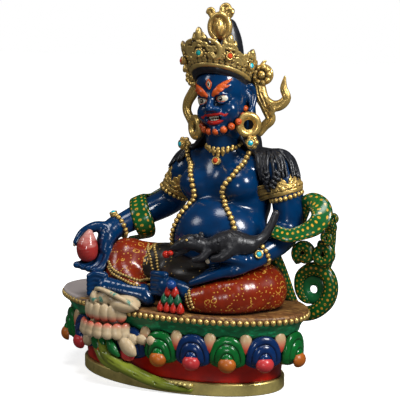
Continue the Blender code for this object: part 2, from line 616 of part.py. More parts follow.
def one_shell(source, name, paint):
    """The outer skin of overlapping shapes, as one mesh with nothing loose in or around it."""
    remesh = source.modifiers.new("merge", "REMESH")
    remesh.mode = "VOXEL"
    remesh.voxel_size = FINE_GRAIN
    soften = source.modifiers.new("soften", "SMOOTH")
    soften.factor = 0.5
    soften.iterations = 2
    graph = bpy.context.evaluated_depsgraph_get()
    mesh = bpy.data.meshes.new_from_object(source.evaluated_get(graph), depsgraph=graph)
    bpy.data.objects.remove(source)
    bm = bmesh.new()
    bm.from_mesh(mesh)
    bpy.data.meshes.remove(mesh)
    islands = split_islands(bm)
    for island in islands[1:]:
        bmesh.ops.delete(bm, geom=island, context="VERTS")
    count = 2 * len(bm.faces)
    made = add_object(name, bm, paint)
    thin = made.modifiers.new("thin", "DECIMATE")
    thin.ratio = FIGURE_TRIANGLES / count
    return made


def split_islands(bm):
    """Lists of connected vertices, largest first."""
    left = set(bm.verts)
    islands = []
    while left:
        seed = left.pop()
        island = [seed]
        edge = [seed]
        while edge:
            for link in edge.pop().link_edges:
                for vert in link.verts:
                    if vert in left:
                        left.remove(vert)
                        island.append(vert)
                        edge.append(vert)
        islands.append(island)
    return sorted(islands, key=len, reverse=True)


def stone_shape(bm, middle, direction, swell):
    """A cabochon: a domed disc whose lower half sits in its collet."""
    turn = facing(direction).to_4x4()
    radius = STONE_DIAMETER / 2 + swell
    size = Matrix.Diagonal((radius, radius * 0.7, radius, 1.0))
    matrix = Matrix.Translation(middle) @ turn @ size
    bmesh.ops.create_uvsphere(bm, u_segments=8, v_segments=5, radius=1.0, matrix=matrix)


def build_stones(settings, paints):
    for name, (middle, direction) in settings.items():
        bm = bmesh.new()
        stone_shape(bm, middle, direction, 0.0)
        add_object(name, bm, paints[STONE_COLOURS.get(name, "turquoise")])


def set_stones(bm):
    """Puts a gold cup on the figure for each stone, and gives the middle of each stone and its direction."""
    surface = BVHTree.FromBMesh(bm)
    settings = {}
    for name, (place, direction) in STONES.items():
        outward = Vector(direction).normalized()
        reach = 14 * UNIT
        hit = surface.ray_cast(at(*place) + outward * reach, -outward)[0]
        ball(bm, hit - outward * 1.2 * UNIT, (3.9, 3.2, 3.9), facing(direction), segments=12, rings=8)
        settings[name] = (hit + outward * 1.8 * UNIT, outward)
    return settings


def seat_cutter(settings):
    """What the figure gives way to: the pedestal's oval, the foot pad and the stones, each with its gap."""
    cutters = bpy.data.collections.new("cutters")
    bpy.context.scene.collection.children.link(cutters)
    bm = bmesh.new()
    margin = 4 * SEAT_GAP
    outline = (RIM_LENGTH / 2 + margin, RIM_DEPTH / 2 + margin)
    bridge(bm, [oval(*outline, -BASE_HEIGHT), oval(*outline, BASE_HEIGHT + SEAT_GAP)])
    seat = add_object("seat_cutter", bm)
    bm = bmesh.new()
    foot_pad(bm, 2 * SEAT_GAP / ORNAMENT_UNIT)
    pad = add_object("pad_cutter", bm)
    bm = bmesh.new()
    for middle, direction in settings.values():
        stone_shape(bm, middle, direction, STONE_GAP * 1.4)
    sockets = add_object("socket_cutter", bm)
    bm = bmesh.new()
    ball(bm, on_rim(22, -56.5, 13), (17, 8, 17), segments=12, unit=ORNAMENT_UNIT)
    pile = add_object("pile_cutter", bm)
    for cutter in (seat, pad, sockets, pile):
        hide_cutter(cutter)
        bpy.context.scene.collection.objects.unlink(cutter)
        cutters.objects.link(cutter)
    return cutters


def build_figure(paint):
    bm = bmesh.new()
    torso(bm)
    skin = BVHTree.FromBMesh(bm)
    arms(bm)
    left_hand(bm)
    right_hand(bm)
    legs(bm)
    seat_folds(bm)
    mongoose(bm)
    head(bm)
    hair(bm)
    crown(bm)
    head_ribbons(bm)
    scarf(bm)
    jewellery(bm, skin)
    settings = set_stones(bm)
    figure = one_shell(add_object("figure_clay", bm), "figure", paint)
    cut = figure.modifiers.new("seat", "BOOLEAN")
    cut.operation = "DIFFERENCE"
    cut.solver = "EXACT"
    cut.operand_type = "COLLECTION"
    cut.collection = seat_cutter(settings)
    return settings


def main():
    clear_scene()
    paints = {
        "blue": material("blue_enamel", (0.012, 0.07, 0.25), 0.3),
        "red": material("red_enamel", (0.30, 0.03, 0.015), 0.4),
        "turquoise": material("turquoise_stone", (0.05, 0.50, 0.58), 0.3),
        "teal": material("teal_stone", (0.01, 0.26, 0.24), 0.3),
        "coral": material("coral_stone", (0.55, 0.07, 0.02), 0.35),
    }
    build_pedestal(paints["red"])
    settings = build_figure(paints["blue"])
    build_stones(settings, paints)


main()
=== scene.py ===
import math

import bpy
import numpy as np
from mathutils import Matrix, Vector
from mathutils.bvhtree import BVHTree


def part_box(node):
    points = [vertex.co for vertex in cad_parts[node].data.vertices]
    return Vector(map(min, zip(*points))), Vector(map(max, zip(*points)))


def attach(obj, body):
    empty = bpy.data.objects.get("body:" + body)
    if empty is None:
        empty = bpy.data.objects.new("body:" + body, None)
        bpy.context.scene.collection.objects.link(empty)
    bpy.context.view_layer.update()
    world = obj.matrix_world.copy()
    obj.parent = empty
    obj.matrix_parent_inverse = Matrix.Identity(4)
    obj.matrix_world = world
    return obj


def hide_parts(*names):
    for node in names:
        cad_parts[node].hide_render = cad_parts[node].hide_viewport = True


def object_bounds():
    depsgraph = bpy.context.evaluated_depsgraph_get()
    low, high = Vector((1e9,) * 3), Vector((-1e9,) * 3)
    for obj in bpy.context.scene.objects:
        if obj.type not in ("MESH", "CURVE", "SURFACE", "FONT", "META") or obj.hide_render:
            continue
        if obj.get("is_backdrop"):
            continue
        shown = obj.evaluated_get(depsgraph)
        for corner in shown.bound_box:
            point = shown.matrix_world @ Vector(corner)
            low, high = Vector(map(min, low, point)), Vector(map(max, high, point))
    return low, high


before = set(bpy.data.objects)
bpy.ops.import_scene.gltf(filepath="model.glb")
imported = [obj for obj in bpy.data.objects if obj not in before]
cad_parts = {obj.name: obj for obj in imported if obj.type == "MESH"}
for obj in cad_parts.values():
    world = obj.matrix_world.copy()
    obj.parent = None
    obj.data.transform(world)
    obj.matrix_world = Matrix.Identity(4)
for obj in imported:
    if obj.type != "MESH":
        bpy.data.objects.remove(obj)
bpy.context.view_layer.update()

# The pedestal's wall. The real one is a hollow oval casting with a polished gold band round its foot, a red
# waist and a green band under the rim. Enamel is brushed on over the metal and rubbed through at its edges.
MM = 0.001
SEAT = 71.5


def feed(tree, node, inputs):
    """Fills a node's inputs, each with a value or with another node's output."""
    for key, value in inputs.items():
        if isinstance(value, bpy.types.NodeSocket):
            tree.links.new(value, node.inputs[key])
        else:
            node.inputs[key].default_value = value


def add(tree, kind, inputs=None, **settings):
    """A node with its settings and its inputs."""
    node = tree.nodes.new(kind)
    for name, value in settings.items():
        setattr(node, name, value)
    feed(tree, node, inputs or {})
    return node


def noise(tree, place, scale, detail=4.0, roughness=0.6):
    return add(tree, "ShaderNodeTexNoise", {"Vector": place, "Scale": scale, "Detail": detail,
                                            "Roughness": roughness}).outputs["Fac"]


def span(tree, value, low, high, start=0.0, end=1.0):
    """value, with low to high stretched over start to end."""
    return add(tree, "ShaderNodeMapRange", {0: value, 1: low, 2: high, 3: start, 4: end}).outputs[0]


def sums(tree, operation, *values):
    return add(tree, "ShaderNodeMath", dict(enumerate(values)), operation=operation).outputs[0]


def blend(tree, share, low, high):
    """A colour between low and high, each a colour or another node's output."""
    low, high = [(*c, 1.0) if isinstance(c, tuple) else c for c in (low, high)]
    return add(tree, "ShaderNodeMix", {0: share, 6: low, 7: high}, data_type="RGBA").outputs[2]


def part_of(tree, place, axis):
    return add(tree, "ShaderNodeSeparateXYZ", {"Vector": place}).outputs[axis]


def bump(tree, strength, distance, height):
    return add(tree, "ShaderNodeBump", {"Strength": strength, "Distance": distance,
                                        "Height": height}).outputs[0]


def new_finish(name):
    """A material with its tree, its shader and the object coordinates that its patterns read."""
    made = bpy.data.materials.new(name)
    made.use_nodes = True
    tree = made.node_tree
    place = add(tree, "ShaderNodeTexCoord").outputs["Object"]
    return made, tree, tree.nodes["Principled BSDF"], place


def hollow_shade_and_antiquing(tree, reach, specks, stir, open_end, enclosed_end, most=1.0):
    """How much painted shade and dark antiquing lie in the hollows, from the ambient occlusion within reach:
    none where a place lies open, most where it is shut in. Specks stir its edge."""
    # Ambient occlusion: the painted shade, with dark antiquing, follows how shut in a place is.
    open_air = add(tree, "ShaderNodeAmbientOcclusion", {"Distance": reach}, samples=12).outputs["AO"]
    stirred = sums(tree, "ADD", open_air, span(tree, specks, 0.3, 0.7, -stir, stir))
    return span(tree, stirred, open_end, enclosed_end, 0.0, most)


def enamel(name, colour, deep, rubbed=(0.30, 0.20, 0.06), wear=0.25, gloss=0.2, ripple=0.12, shade_antiquing_reach=0.0035,
           figure=None):
    """Brushed glossy paint: clouded colour, painted shade with dark antiquing in the hollows and creases, and
    metal showing where edges are rubbed. figure is a function that paints a pattern over the colour."""
    made, tree, shader, place = new_finish(name)
    cloud = noise(tree, place, 85.0, 6.0)
    specks = noise(tree, place, 900.0, 3.0)
    # The dark tone of the painted shade and dark antiquing in the hollows and creases.
    shade_antiquing_tone = tuple(0.16 * c + 0.002 for c in deep)
    tone = blend(tree, span(tree, cloud, 0.35, 0.7, 0.0, 0.65), colour, deep)
    if figure:
        tone = figure(tree, place, tone)
    # Painted shade with dark antiquing in the hollows, from ambient occlusion.
    tone = blend(tree, hollow_shade_and_antiquing(tree, shade_antiquing_reach, specks, 0.12, 0.80, 0.34), tone, shade_antiquing_tone)
    edge = add(tree, "ShaderNodeNewGeometry").outputs["Pointiness"]
    # Painted shade with dark antiquing in the creases, where pointiness is low.
    tone = blend(tree, span(tree, edge, 0.490, 0.43, 0.0, 0.85), tone, shade_antiquing_tone)
    worn = sums(tree, "MULTIPLY", span(tree, edge, 0.55, 0.64, 0.0, wear), span(tree, specks, 0.45, 0.6))
    height = sums(tree, "ADD", noise(tree, place, 260.0, 4.0), span(tree, specks, 0.0, 1.0, 0.0, 0.25))
    feed(tree, shader, {
        "Base Color": blend(tree, worn, tone, rubbed), "Normal": bump(tree, ripple, 0.0006, height),
        "Roughness": span(tree, cloud, 0.3, 0.75, gloss, gloss + 0.12), "Specular IOR Level": 0.45,
        "Coat Weight": 0.05, "Coat Roughness": 0.12})
    return made


def brass(name, bright, rough=0.28, shade_antiquing_reach=0.0028, depth=0.8, back=None):
    """Gilded metal rubbed bright on its high places, with dark antiquing and painted shade in the carving and
    creases. With back, a colour, the first number of flow says where that paint covers the gold, and the
    second where more painted shade and antiquing lie."""
    made, tree, shader, place = new_finish(name)
    cloud = noise(tree, place, 140.0, 5.0)
    specks = noise(tree, place, 1300.0, 3.0)
    # Painted shade with dark antiquing in the hollows, from ambient occlusion.
    shade_and_antiquing = hollow_shade_and_antiquing(tree, shade_antiquing_reach, specks, 0.1, 0.90, 0.50, depth)
    edge = add(tree, "ShaderNodeNewGeometry").outputs["Pointiness"]
    # More painted shade with dark antiquing in the creases, where pointiness is low.
    shade_and_antiquing = sums(tree, "MAXIMUM", shade_and_antiquing, span(tree, edge, 0.485, 0.43, 0.0, depth))
    tone = blend(tree, span(tree, cloud, 0.3, 0.75), bright, tuple(0.62 * c for c in bright))
    if back:
        flow = add(tree, "ShaderNodeUVMap", uv_map="flow").outputs[0]
        painted, sunk_shade_and_antiquing = [part_of(tree, flow, axis) for axis in "XY"]
        # Where flow says so, more painted shade and dark antiquing in the sunken carving.
        shade_and_antiquing = sums(tree, "MAXIMUM", shade_and_antiquing, sums(tree, "MULTIPLY", sunk_shade_and_antiquing, depth))
    # The dark tone of the painted shade and antiquing; the gold is less metallic there.
    tone = blend(tree, shade_and_antiquing, tone, (0.030, 0.016, 0.006))
    metal = span(tree, shade_and_antiquing, 0.0, 1.0, 0.72, 0.1)
    if back:
        tone = blend(tree, painted, tone, back)
        metal = sums(tree, "MULTIPLY", metal, sums(tree, "SUBTRACT", 1.0, painted))
    dull = sums(tree, "ADD", span(tree, cloud, 0.3, 0.7, rough, rough + 0.14),
                span(tree, shade_and_antiquing, 0.0, 1.0, 0.0, 0.3))
    feed(tree, shader, {"Base Color": tone, "Metallic": metal, "Roughness": dull,
                        "Normal": bump(tree, 0.25, 0.0005, noise(tree, place, 520.0, 4.0))})
    return made


def put(name, data):
    """A new object in the scene."""
    made = bpy.data.objects.new(name, data)
    bpy.context.scene.collection.objects.link(made)
    return made


def form(name, places, faces, finish, slot, lift=0.0, flow=None, crisp=None):
    """A mesh from places in mm that rides on the statue. flow holds two numbers for each corner of each face,
    which a pattern follows, and edges sharper than crisp degrees stay sharp."""
    mesh = bpy.data.meshes.new(name)
    places = (np.asarray(places, float) + (0.0, 0.0, lift)) * MM
    mesh.from_pydata(places.tolist(), [], [list(face) for face in faces])
    mesh.shade_smooth()
    if crisp:
        mesh.set_sharp_from_angle(angle=math.radians(crisp))
    if flow is not None:
        mesh.uv_layers.new(name="flow").data.foreach_set("uv", np.asarray(flow, np.float32).ravel())
    mesh.materials.append(finish)
    made = put(name, mesh)
    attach(made, "root")
    return made


def loft(rows):
    """Quads between closed rows of points, with end caps. Gives places, faces, and for each corner how far
    along, in mm, and how far round, from 0 to 1, it lies."""
    rows = np.asarray(rows, float)
    count, around = rows.shape[:2]
    middles = rows.mean(1)
    along = np.concatenate(([0.0], np.cumsum(np.linalg.norm(np.diff(middles, axis=0), axis=1))))
    faces, flow = [], []
    for i in range(count - 1):
        below, above = i * around, (i + 1) * around
        for k in range(around):
            after = (k + 1) % around
            faces.append((below + k, below + after, above + after, above + k))
            flow += [(along[i], k / around), (along[i], (k + 1) / around),
                     (along[i + 1], (k + 1) / around), (along[i + 1], k / around)]
    last = (count - 1) * around
    faces.append(tuple(reversed(range(around))))
    faces.append(tuple(range(last, last + around)))
    flow += [(0.0, 0.5)] * around + [(along[-1], 0.5)] * around
    return rows.reshape(-1, 3), faces, flow


OVAL_SIDES = 200


def turned(name, profile, finish, crisp=None):
    """An oval of the pedestal from rows of half length, half depth and height above the ground."""
    around = np.linspace(0, 2 * np.pi, OVAL_SIDES, endpoint=False)
    rows = [np.stack((a * np.cos(around), b * np.sin(around), np.full(OVAL_SIDES, z)), 1)
            for a, b, z in profile]
    places, faces, flow = loft(rows)
    return form(name, places, faces, finish, "base_enamel", flow=flow, crisp=crisp)


def worn_back(tree, place, tone):
    """The back of the pedestal is brushed plain red."""
    edge = sums(tree, "ADD", part_of(tree, place, "Y"),
                span(tree, noise(tree, place, 90.0), 0.3, 0.7, -0.003, 0.003))
    return blend(tree, span(tree, edge, 0.024, 0.027), tone, (0.22, 0.014, 0.010))


def worn_green(tree, place, tone):
    """Bright green patches over the dark green, with darker scratches."""
    scratch = add(tree, "ShaderNodeMapping", {"Vector": place, "Scale": (1.0, 1.0, 2.6)}).outputs[0]
    patch = noise(tree, scratch, 130.0, 8.0, 0.7)
    tone = blend(tree, span(tree, patch, 0.5, 0.62), tone, (0.015, 0.40, 0.15))
    tone = blend(tree, span(tree, noise(tree, scratch, 330.0, 6.0, 0.7), 0.61, 0.68), tone,
                 (0.02, 0.05, 0.025))
    return worn_back(tree, place, tone)


foot_gold = brass("foot_gold", (1.0, 0.82, 0.28), rough=0.30, depth=0.4)
waist_red = enamel("waist_red", (0.55, 0.010, 0.002), (0.26, 0.005, 0.001), gloss=0.3, wear=0.2)
band_green = enamel("band_green", (0.010, 0.17, 0.06), (0.006, 0.08, 0.03), gloss=0.32, wear=0.5,
                    figure=worn_green)
foot = [(97.4, 54.4, 0.0), (98, 55, 0.7), (98, 55, 9.6), (97.3, 54.3, 10.5), (94, 51, 10.8), (93, 50, 8.0)]
waist = [(93, 49, 9.5), (95.6, 51.6, 10.8), (95.3, 51.3, 13), (95.6, 51.0, 17), (96.6, 50.8, 21),
         (99, 51.6, 25), (103, 53.4, 28), (107, 54.6, 32), (108.6, 55.2, 40),
         (109.5, 55.6, 48), (109, 55, 53)]
band = [(107, 53, 50), (111.2, 56, 52), (112.2, 56.8, 54), (113, 57.4, 57), (115, 58.8, 60.5),
        (117.6, 60.4, 63), (118.6, 61.0, 64.5), (118.6, 61.0, 66.5), (115, 57, 66.5)]
turned("foot_band", foot, foot_gold, crisp=35)
turned("red_waist", waist, waist_red)
pedestal = turned("green_band", band, band_green)
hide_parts("lotus_base")

# The platform is the upper face of the same casting, with a rounded lip. The cloth that is spread over it is
# painted as low folds in gold and brown, and is pale beside the foot.


def folded_cloth(tree, place, tone):
    """Gold folds with brown between them, and a pale patch at the statue's right."""
    swirl = add(tree, "ShaderNodeMapping", {"Vector": place, "Scale": (0.35, 1.6, 1.0),
                                            "Rotation": (0, 0, 0.25)}).outputs[0]
    fold = noise(tree, swirl, 150.0, 7.0, 0.7)
    tone = blend(tree, span(tree, fold, 0.42, 0.52), tone, (0.10, 0.035, 0.012))
    tone = blend(tree, span(tree, fold, 0.55, 0.66), tone, (0.62, 0.36, 0.10))
    edge = sums(tree, "ADD", part_of(tree, place, "X"), span(tree, fold, 0.3, 0.7, -0.010, 0.010))
    return blend(tree, span(tree, edge, -0.068, -0.082), tone, (0.62, 0.54, 0.52))


cloth_gold = enamel("cloth_gold", (0.34, 0.17, 0.05), (0.14, 0.05, 0.02), gloss=0.36, ripple=0.7,
                    figure=folded_cloth)
lip = [(116, 58, 64.5), (119.0, 61.2, 66.2), (120, 62, 67.6), (120, 62, 70.2), (119.2, 61.2, 71.2),
       (117.5, 59.6, SEAT), (112, 54, 71.3), (100, 46, SEAT), (60, 25, SEAT), (2, 1, SEAT)]
turned("platform", lip, cloth_gold)

# The rim's beads. They are cast with the pedestal and gilded, in one row under the lip that stops where the
# plain back begins.


def bead_tree(name):
    """A Geometry Nodes tree that threads beads along a mesh line, a pitch apart."""
    tree = bpy.data.node_groups.new(name, "GeometryNodeTree")
    tree.interface.new_socket("Geometry", in_out="INPUT", socket_type="NodeSocketGeometry")
    for label, value in (("Pitch", 0.0055), ("Bead", 0.0026)):
        socket = tree.interface.new_socket(label, in_out="INPUT", socket_type="NodeSocketFloat")
        socket.default_value = value
    tree.interface.new_socket("Stretch", in_out="INPUT", socket_type="NodeSocketVector")
    tree.interface.new_socket("Finish", in_out="INPUT", socket_type="NodeSocketMaterial")
    tree.interface.new_socket("Geometry", in_out="OUTPUT", socket_type="NodeSocketGeometry")
    given = tree.nodes.new("NodeGroupInput").outputs
    line = add(tree, "GeometryNodeMeshToCurve", {"Mesh": given["Geometry"]})
    even = add(tree, "GeometryNodeResampleCurve",
               {"Curve": line.outputs[0], "Length": given["Pitch"]}, mode="LENGTH")
    ball = add(tree, "GeometryNodeMeshUVSphere", {"Segments": 12, "Rings": 8, "Radius": given["Bead"]})
    round_ball = add(tree, "GeometryNodeSetShadeSmooth", {"Geometry": ball.outputs[0]})
    tangent = tree.nodes.new("GeometryNodeInputTangent").outputs[0]
    turn = add(tree, "FunctionNodeAlignRotationToVector", {"Vector": tangent}, axis="X")
    strung = add(tree, "GeometryNodeInstanceOnPoints", {
        "Points": even.outputs[0], "Instance": round_ball.outputs[0], "Rotation": turn.outputs[0],
        "Scale": given["Stretch"]})
    real = add(tree, "GeometryNodeRealizeInstances", {"Geometry": strung.outputs[0]})
    painted = add(tree, "GeometryNodeSetMaterial", {"Geometry": real.outputs[0], "Material": given["Finish"]})
    out = tree.nodes.new("NodeGroupOutput")
    tree.links.new(painted.outputs[0], out.inputs[0])
    return tree


bead_row = bead_tree("bead_row")


def beads(name, lines, pitch, radius, finish, stretch=(1.0, 1.0, 1.0), lift=SEAT):
    """Beads along lines of places in mm, made by the bead tree and kept as a plain mesh."""
    mesh = bpy.data.meshes.new(name)
    places, edges = [], []
    for line in lines:
        edges += [(len(places) + k, len(places) + k + 1) for k in range(len(line) - 1)]
        places += [(x * MM, y * MM, (z + lift) * MM) for x, y, z in line]
    mesh.from_pydata(places, edges, [])
    made = put(name, mesh)
    threading = made.modifiers.new("threading", "NODES")
    threading.node_group = bead_row
    wanted = {"Pitch": pitch * MM, "Bead": radius * MM, "Stretch": stretch, "Finish": finish}
    for item in bead_row.interface.items_tree:
        if item.in_out == "INPUT" and item.name in wanted:
            threading[item.identifier] = wanted[item.name]
    graph = bpy.context.evaluated_depsgraph_get()
    plain = bpy.data.meshes.new_from_object(made.evaluated_get(graph), depsgraph=graph)
    made.modifiers.clear()
    made.data = plain
    plain.name = name
    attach(made, "root")
    return made


bead_gold = brass("bead_gold", (0.80, 0.55, 0.18), shade_antiquing_reach=0.0022)
RIM_HALVES = (119.2, 61.4)
RIM_HEIGHT = 66.8
RIM_BEAD_PITCH = 5.5
RIM_BEAD_RADIUS = 2.55
arc = np.radians(np.linspace(24, -204, 300))
rim = np.stack((RIM_HALVES[0] * np.cos(arc), RIM_HALVES[1] * np.sin(arc), np.full(len(arc), RIM_HEIGHT)), 1)
beads("rim_beads", [rim], RIM_BEAD_PITCH, RIM_BEAD_RADIUS, bead_gold,
      (0.98, 1.0, 1.06), lift=0.0)

# The lotus petals hang round the front and both ends. Each is cast as three nested ridges over a round bulb,
# painted green with an orange bulb or blue with a pink one, and pale tips show between them.
PETAL_PITCH = 29.6
PETAL_WALL = (109.4, 55.6)
FIRST_PETAL = -3
LAST_PETAL = 12.0 * PETAL_PITCH - 27


def oval_walk(length):
    """The place and the outward normal on the petals' wall, length mm clockwise from the first petal."""
    half_length, half_depth = PETAL_WALL
    angles = np.radians(FIRST_PETAL) - np.linspace(0, 2 * np.pi, 2881)
    line = np.stack((half_length * np.cos(angles), half_depth * np.sin(angles)), 1)
    gone = np.concatenate(([0.0], np.cumsum(np.linalg.norm(np.diff(line, axis=0), axis=1))))
    k = int(np.searchsorted(gone, length % gone[-1]))
    normal = np.array((line[k][0] / half_length**2, line[k][1] / half_depth**2))
    return line[k], normal / np.linalg.norm(normal)


def dome(height, rows=30, sides=56):
    """A closed lump over a round outline. height gives half width, rise and depth at a share of the way out
    and at an angle round it."""
    places = [(0.0, 0.0, height(0.0, 0.0)[2])]
    for i in range(1, rows + 1):
        for k in range(sides):
            angle = 2 * math.pi * k / sides
            wide, tall, deep = height(i / rows, angle)
            places.append((wide * math.cos(angle), tall * math.sin(angle), deep))
    faces = [(0, 1 + k, 1 + (k + 1) % sides) for k in range(sides)]
    for i in range(rows - 1):
        low, high = 1 + i * sides, 1 + (i + 1) * sides
        faces += [(low + k, high + k, high + (k + 1) % sides, low + (k + 1) % sides) for k in range(sides)]
    last = 1 + (rows - 1) * sides
    faces.append(tuple(reversed(range(last, last + sides))))
    return np.array(places), faces


def petal_ridges(share, angle):
    """Three round ridges, the innermost proudest, over a petal 31 mm wide that hangs from the green band."""
    up = math.sin(angle) > 0
    step = min(share * 3.0, 2.999)
    ridge = math.sqrt(max(0.0, 1 - (2 * (step - int(step)) - 1) ** 2))
    deep = 8.6 - 8.2 * share**1.1 + 1.9 * ridge * (1.0 if up else 0.5)
    if share >= 1.0:
        deep = -3.0
    square = (abs(math.cos(angle)) ** 2.3 + abs(math.sin(angle)) ** 2.3) ** (-1 / 2.3) if up else 1.0
    tall = (22.5 if up else 7.0) * share ** (0.9 if up else 1.0)
    return 15.8 * square * share ** 0.92, square * tall, deep


def bulb_round(share, angle):
    """A flat round bulb under a petal."""
    bend = math.sin(share * math.pi / 2)
    return 7.7 * bend, 6.9 * bend, 6.4 * math.cos(share * math.pi / 2)


def tip_round(share, angle):
    """A tip between two petals, drawn down to a blunt point."""
    bend = math.sin(share * math.pi / 2)
    point = 1.0 + 0.25 * max(0.0, -math.sin(angle)) ** 2
    return 5.8 * bend, 8.4 * bend * point, 3.6 * math.cos(share * math.pi / 2)


def stand_on(length, lump, height, out, lean=0.0):
    """A lump moved to its place on the pedestal: out from the petals' wall, at a height above the ground."""
    (x, y), (nx, ny) = oval_walk(length)
    wide, tall, deep = lump[:, 0], lump[:, 1], lump[:, 2] + out
    deep = deep - tall * lean
    return np.stack((x - ny * wide + nx * deep, y + nx * wide + ny * deep, height + tall), 1)


def pile(parts):
    """Several shapes as one list of places and one list of faces."""
    places, faces, count = [], [], 0
    for some, joins in parts:
        places.append(some)
        faces += [tuple(count + k for k in join) for join in joins]
        count += len(some)
    return np.concatenate(places), faces


def pale_tip(tree, place, tone):
    """Cream above, blushing to red-pink where it goes down between the petals."""
    return blend(tree, span(tree, part_of(tree, place, "Z"), 0.0515, 0.043), tone, (0.62, 0.06, 0.035))


petal_green = enamel("petal_green", (0.003, 0.145, 0.024), (0.001, 0.05, 0.008), gloss=0.16, shade_antiquing_reach=0.0045)
petal_blue = enamel("petal_blue", (0.003, 0.028, 0.125), (0.001, 0.008, 0.040), gloss=0.16, shade_antiquing_reach=0.0045)
bulb_orange = enamel("bulb_orange", (0.50, 0.13, 0.012), (0.26, 0.06, 0.008), gloss=0.3, ripple=0.4)
bulb_pink = enamel("bulb_pink", (0.62, 0.045, 0.05), (0.36, 0.02, 0.02), gloss=0.24, ripple=0.4)
tip_cream = enamel("tip_cream", (0.62, 0.44, 0.24), (0.40, 0.25, 0.12), gloss=0.3, figure=pale_tip)
petal, petal_faces = dome(petal_ridges)
bulb, bulb_faces = dome(bulb_round, rows=14, sides=28)
tip, tip_faces = dome(tip_round, rows=10, sides=24)
greens, blues, oranges, pinks, tips = [], [], [], [], []
for k in range(11):
    petals, bulbs = (blues, pinks) if k % 2 else (greens, oranges)
    step = LAST_PETAL if k == 10 else k * PETAL_PITCH
    petals.append((stand_on(step, petal, 32.5, 0.3, -0.10), petal_faces))
    bulbs.append((stand_on(step, bulb, 31.0, 6.6), bulb_faces))
    tips.append((stand_on(step + PETAL_PITCH / 2, tip, 48.5, 1.2, 0.05), tip_faces))
for name, parts, finish in (("green_petals", greens, petal_green), ("blue_petals", blues, petal_blue),
                            ("orange_bulbs", oranges, bulb_orange), ("pink_bulbs", pinks, bulb_pink),
                            ("petal_tips", tips, tip_cream)):
    form(name, *pile(parts), finish, "base_enamel")

# The body. In the real statue it is modelled in wax and cast in one hollow piece: a broad chest and a round
# belly, arms bent forwards, painted deep blue and varnished. Places are in mm from the middle of the seat.


def flowing(stops, steps=4):
    """Stops joined by a smooth curve, with steps pieces between each two."""
    stops = np.asarray(stops, float)
    padded = np.concatenate((stops[:1], stops, stops[-1:]))
    path = []
    for before, start, end, after in zip(padded, padded[1:], padded[2:], padded[3:]):
        for t in np.arange(steps) / steps:
            path.append(((-t + 2 * t**2 - t**3) * before + (2 - 5 * t**2 + 3 * t**3) * start
                         + (t + 4 * t**2 - 3 * t**3) * end + (t**3 - t**2) * after) / 2)
    return np.array([*path, stops[-1]])


FAR_AWAY = 50.0


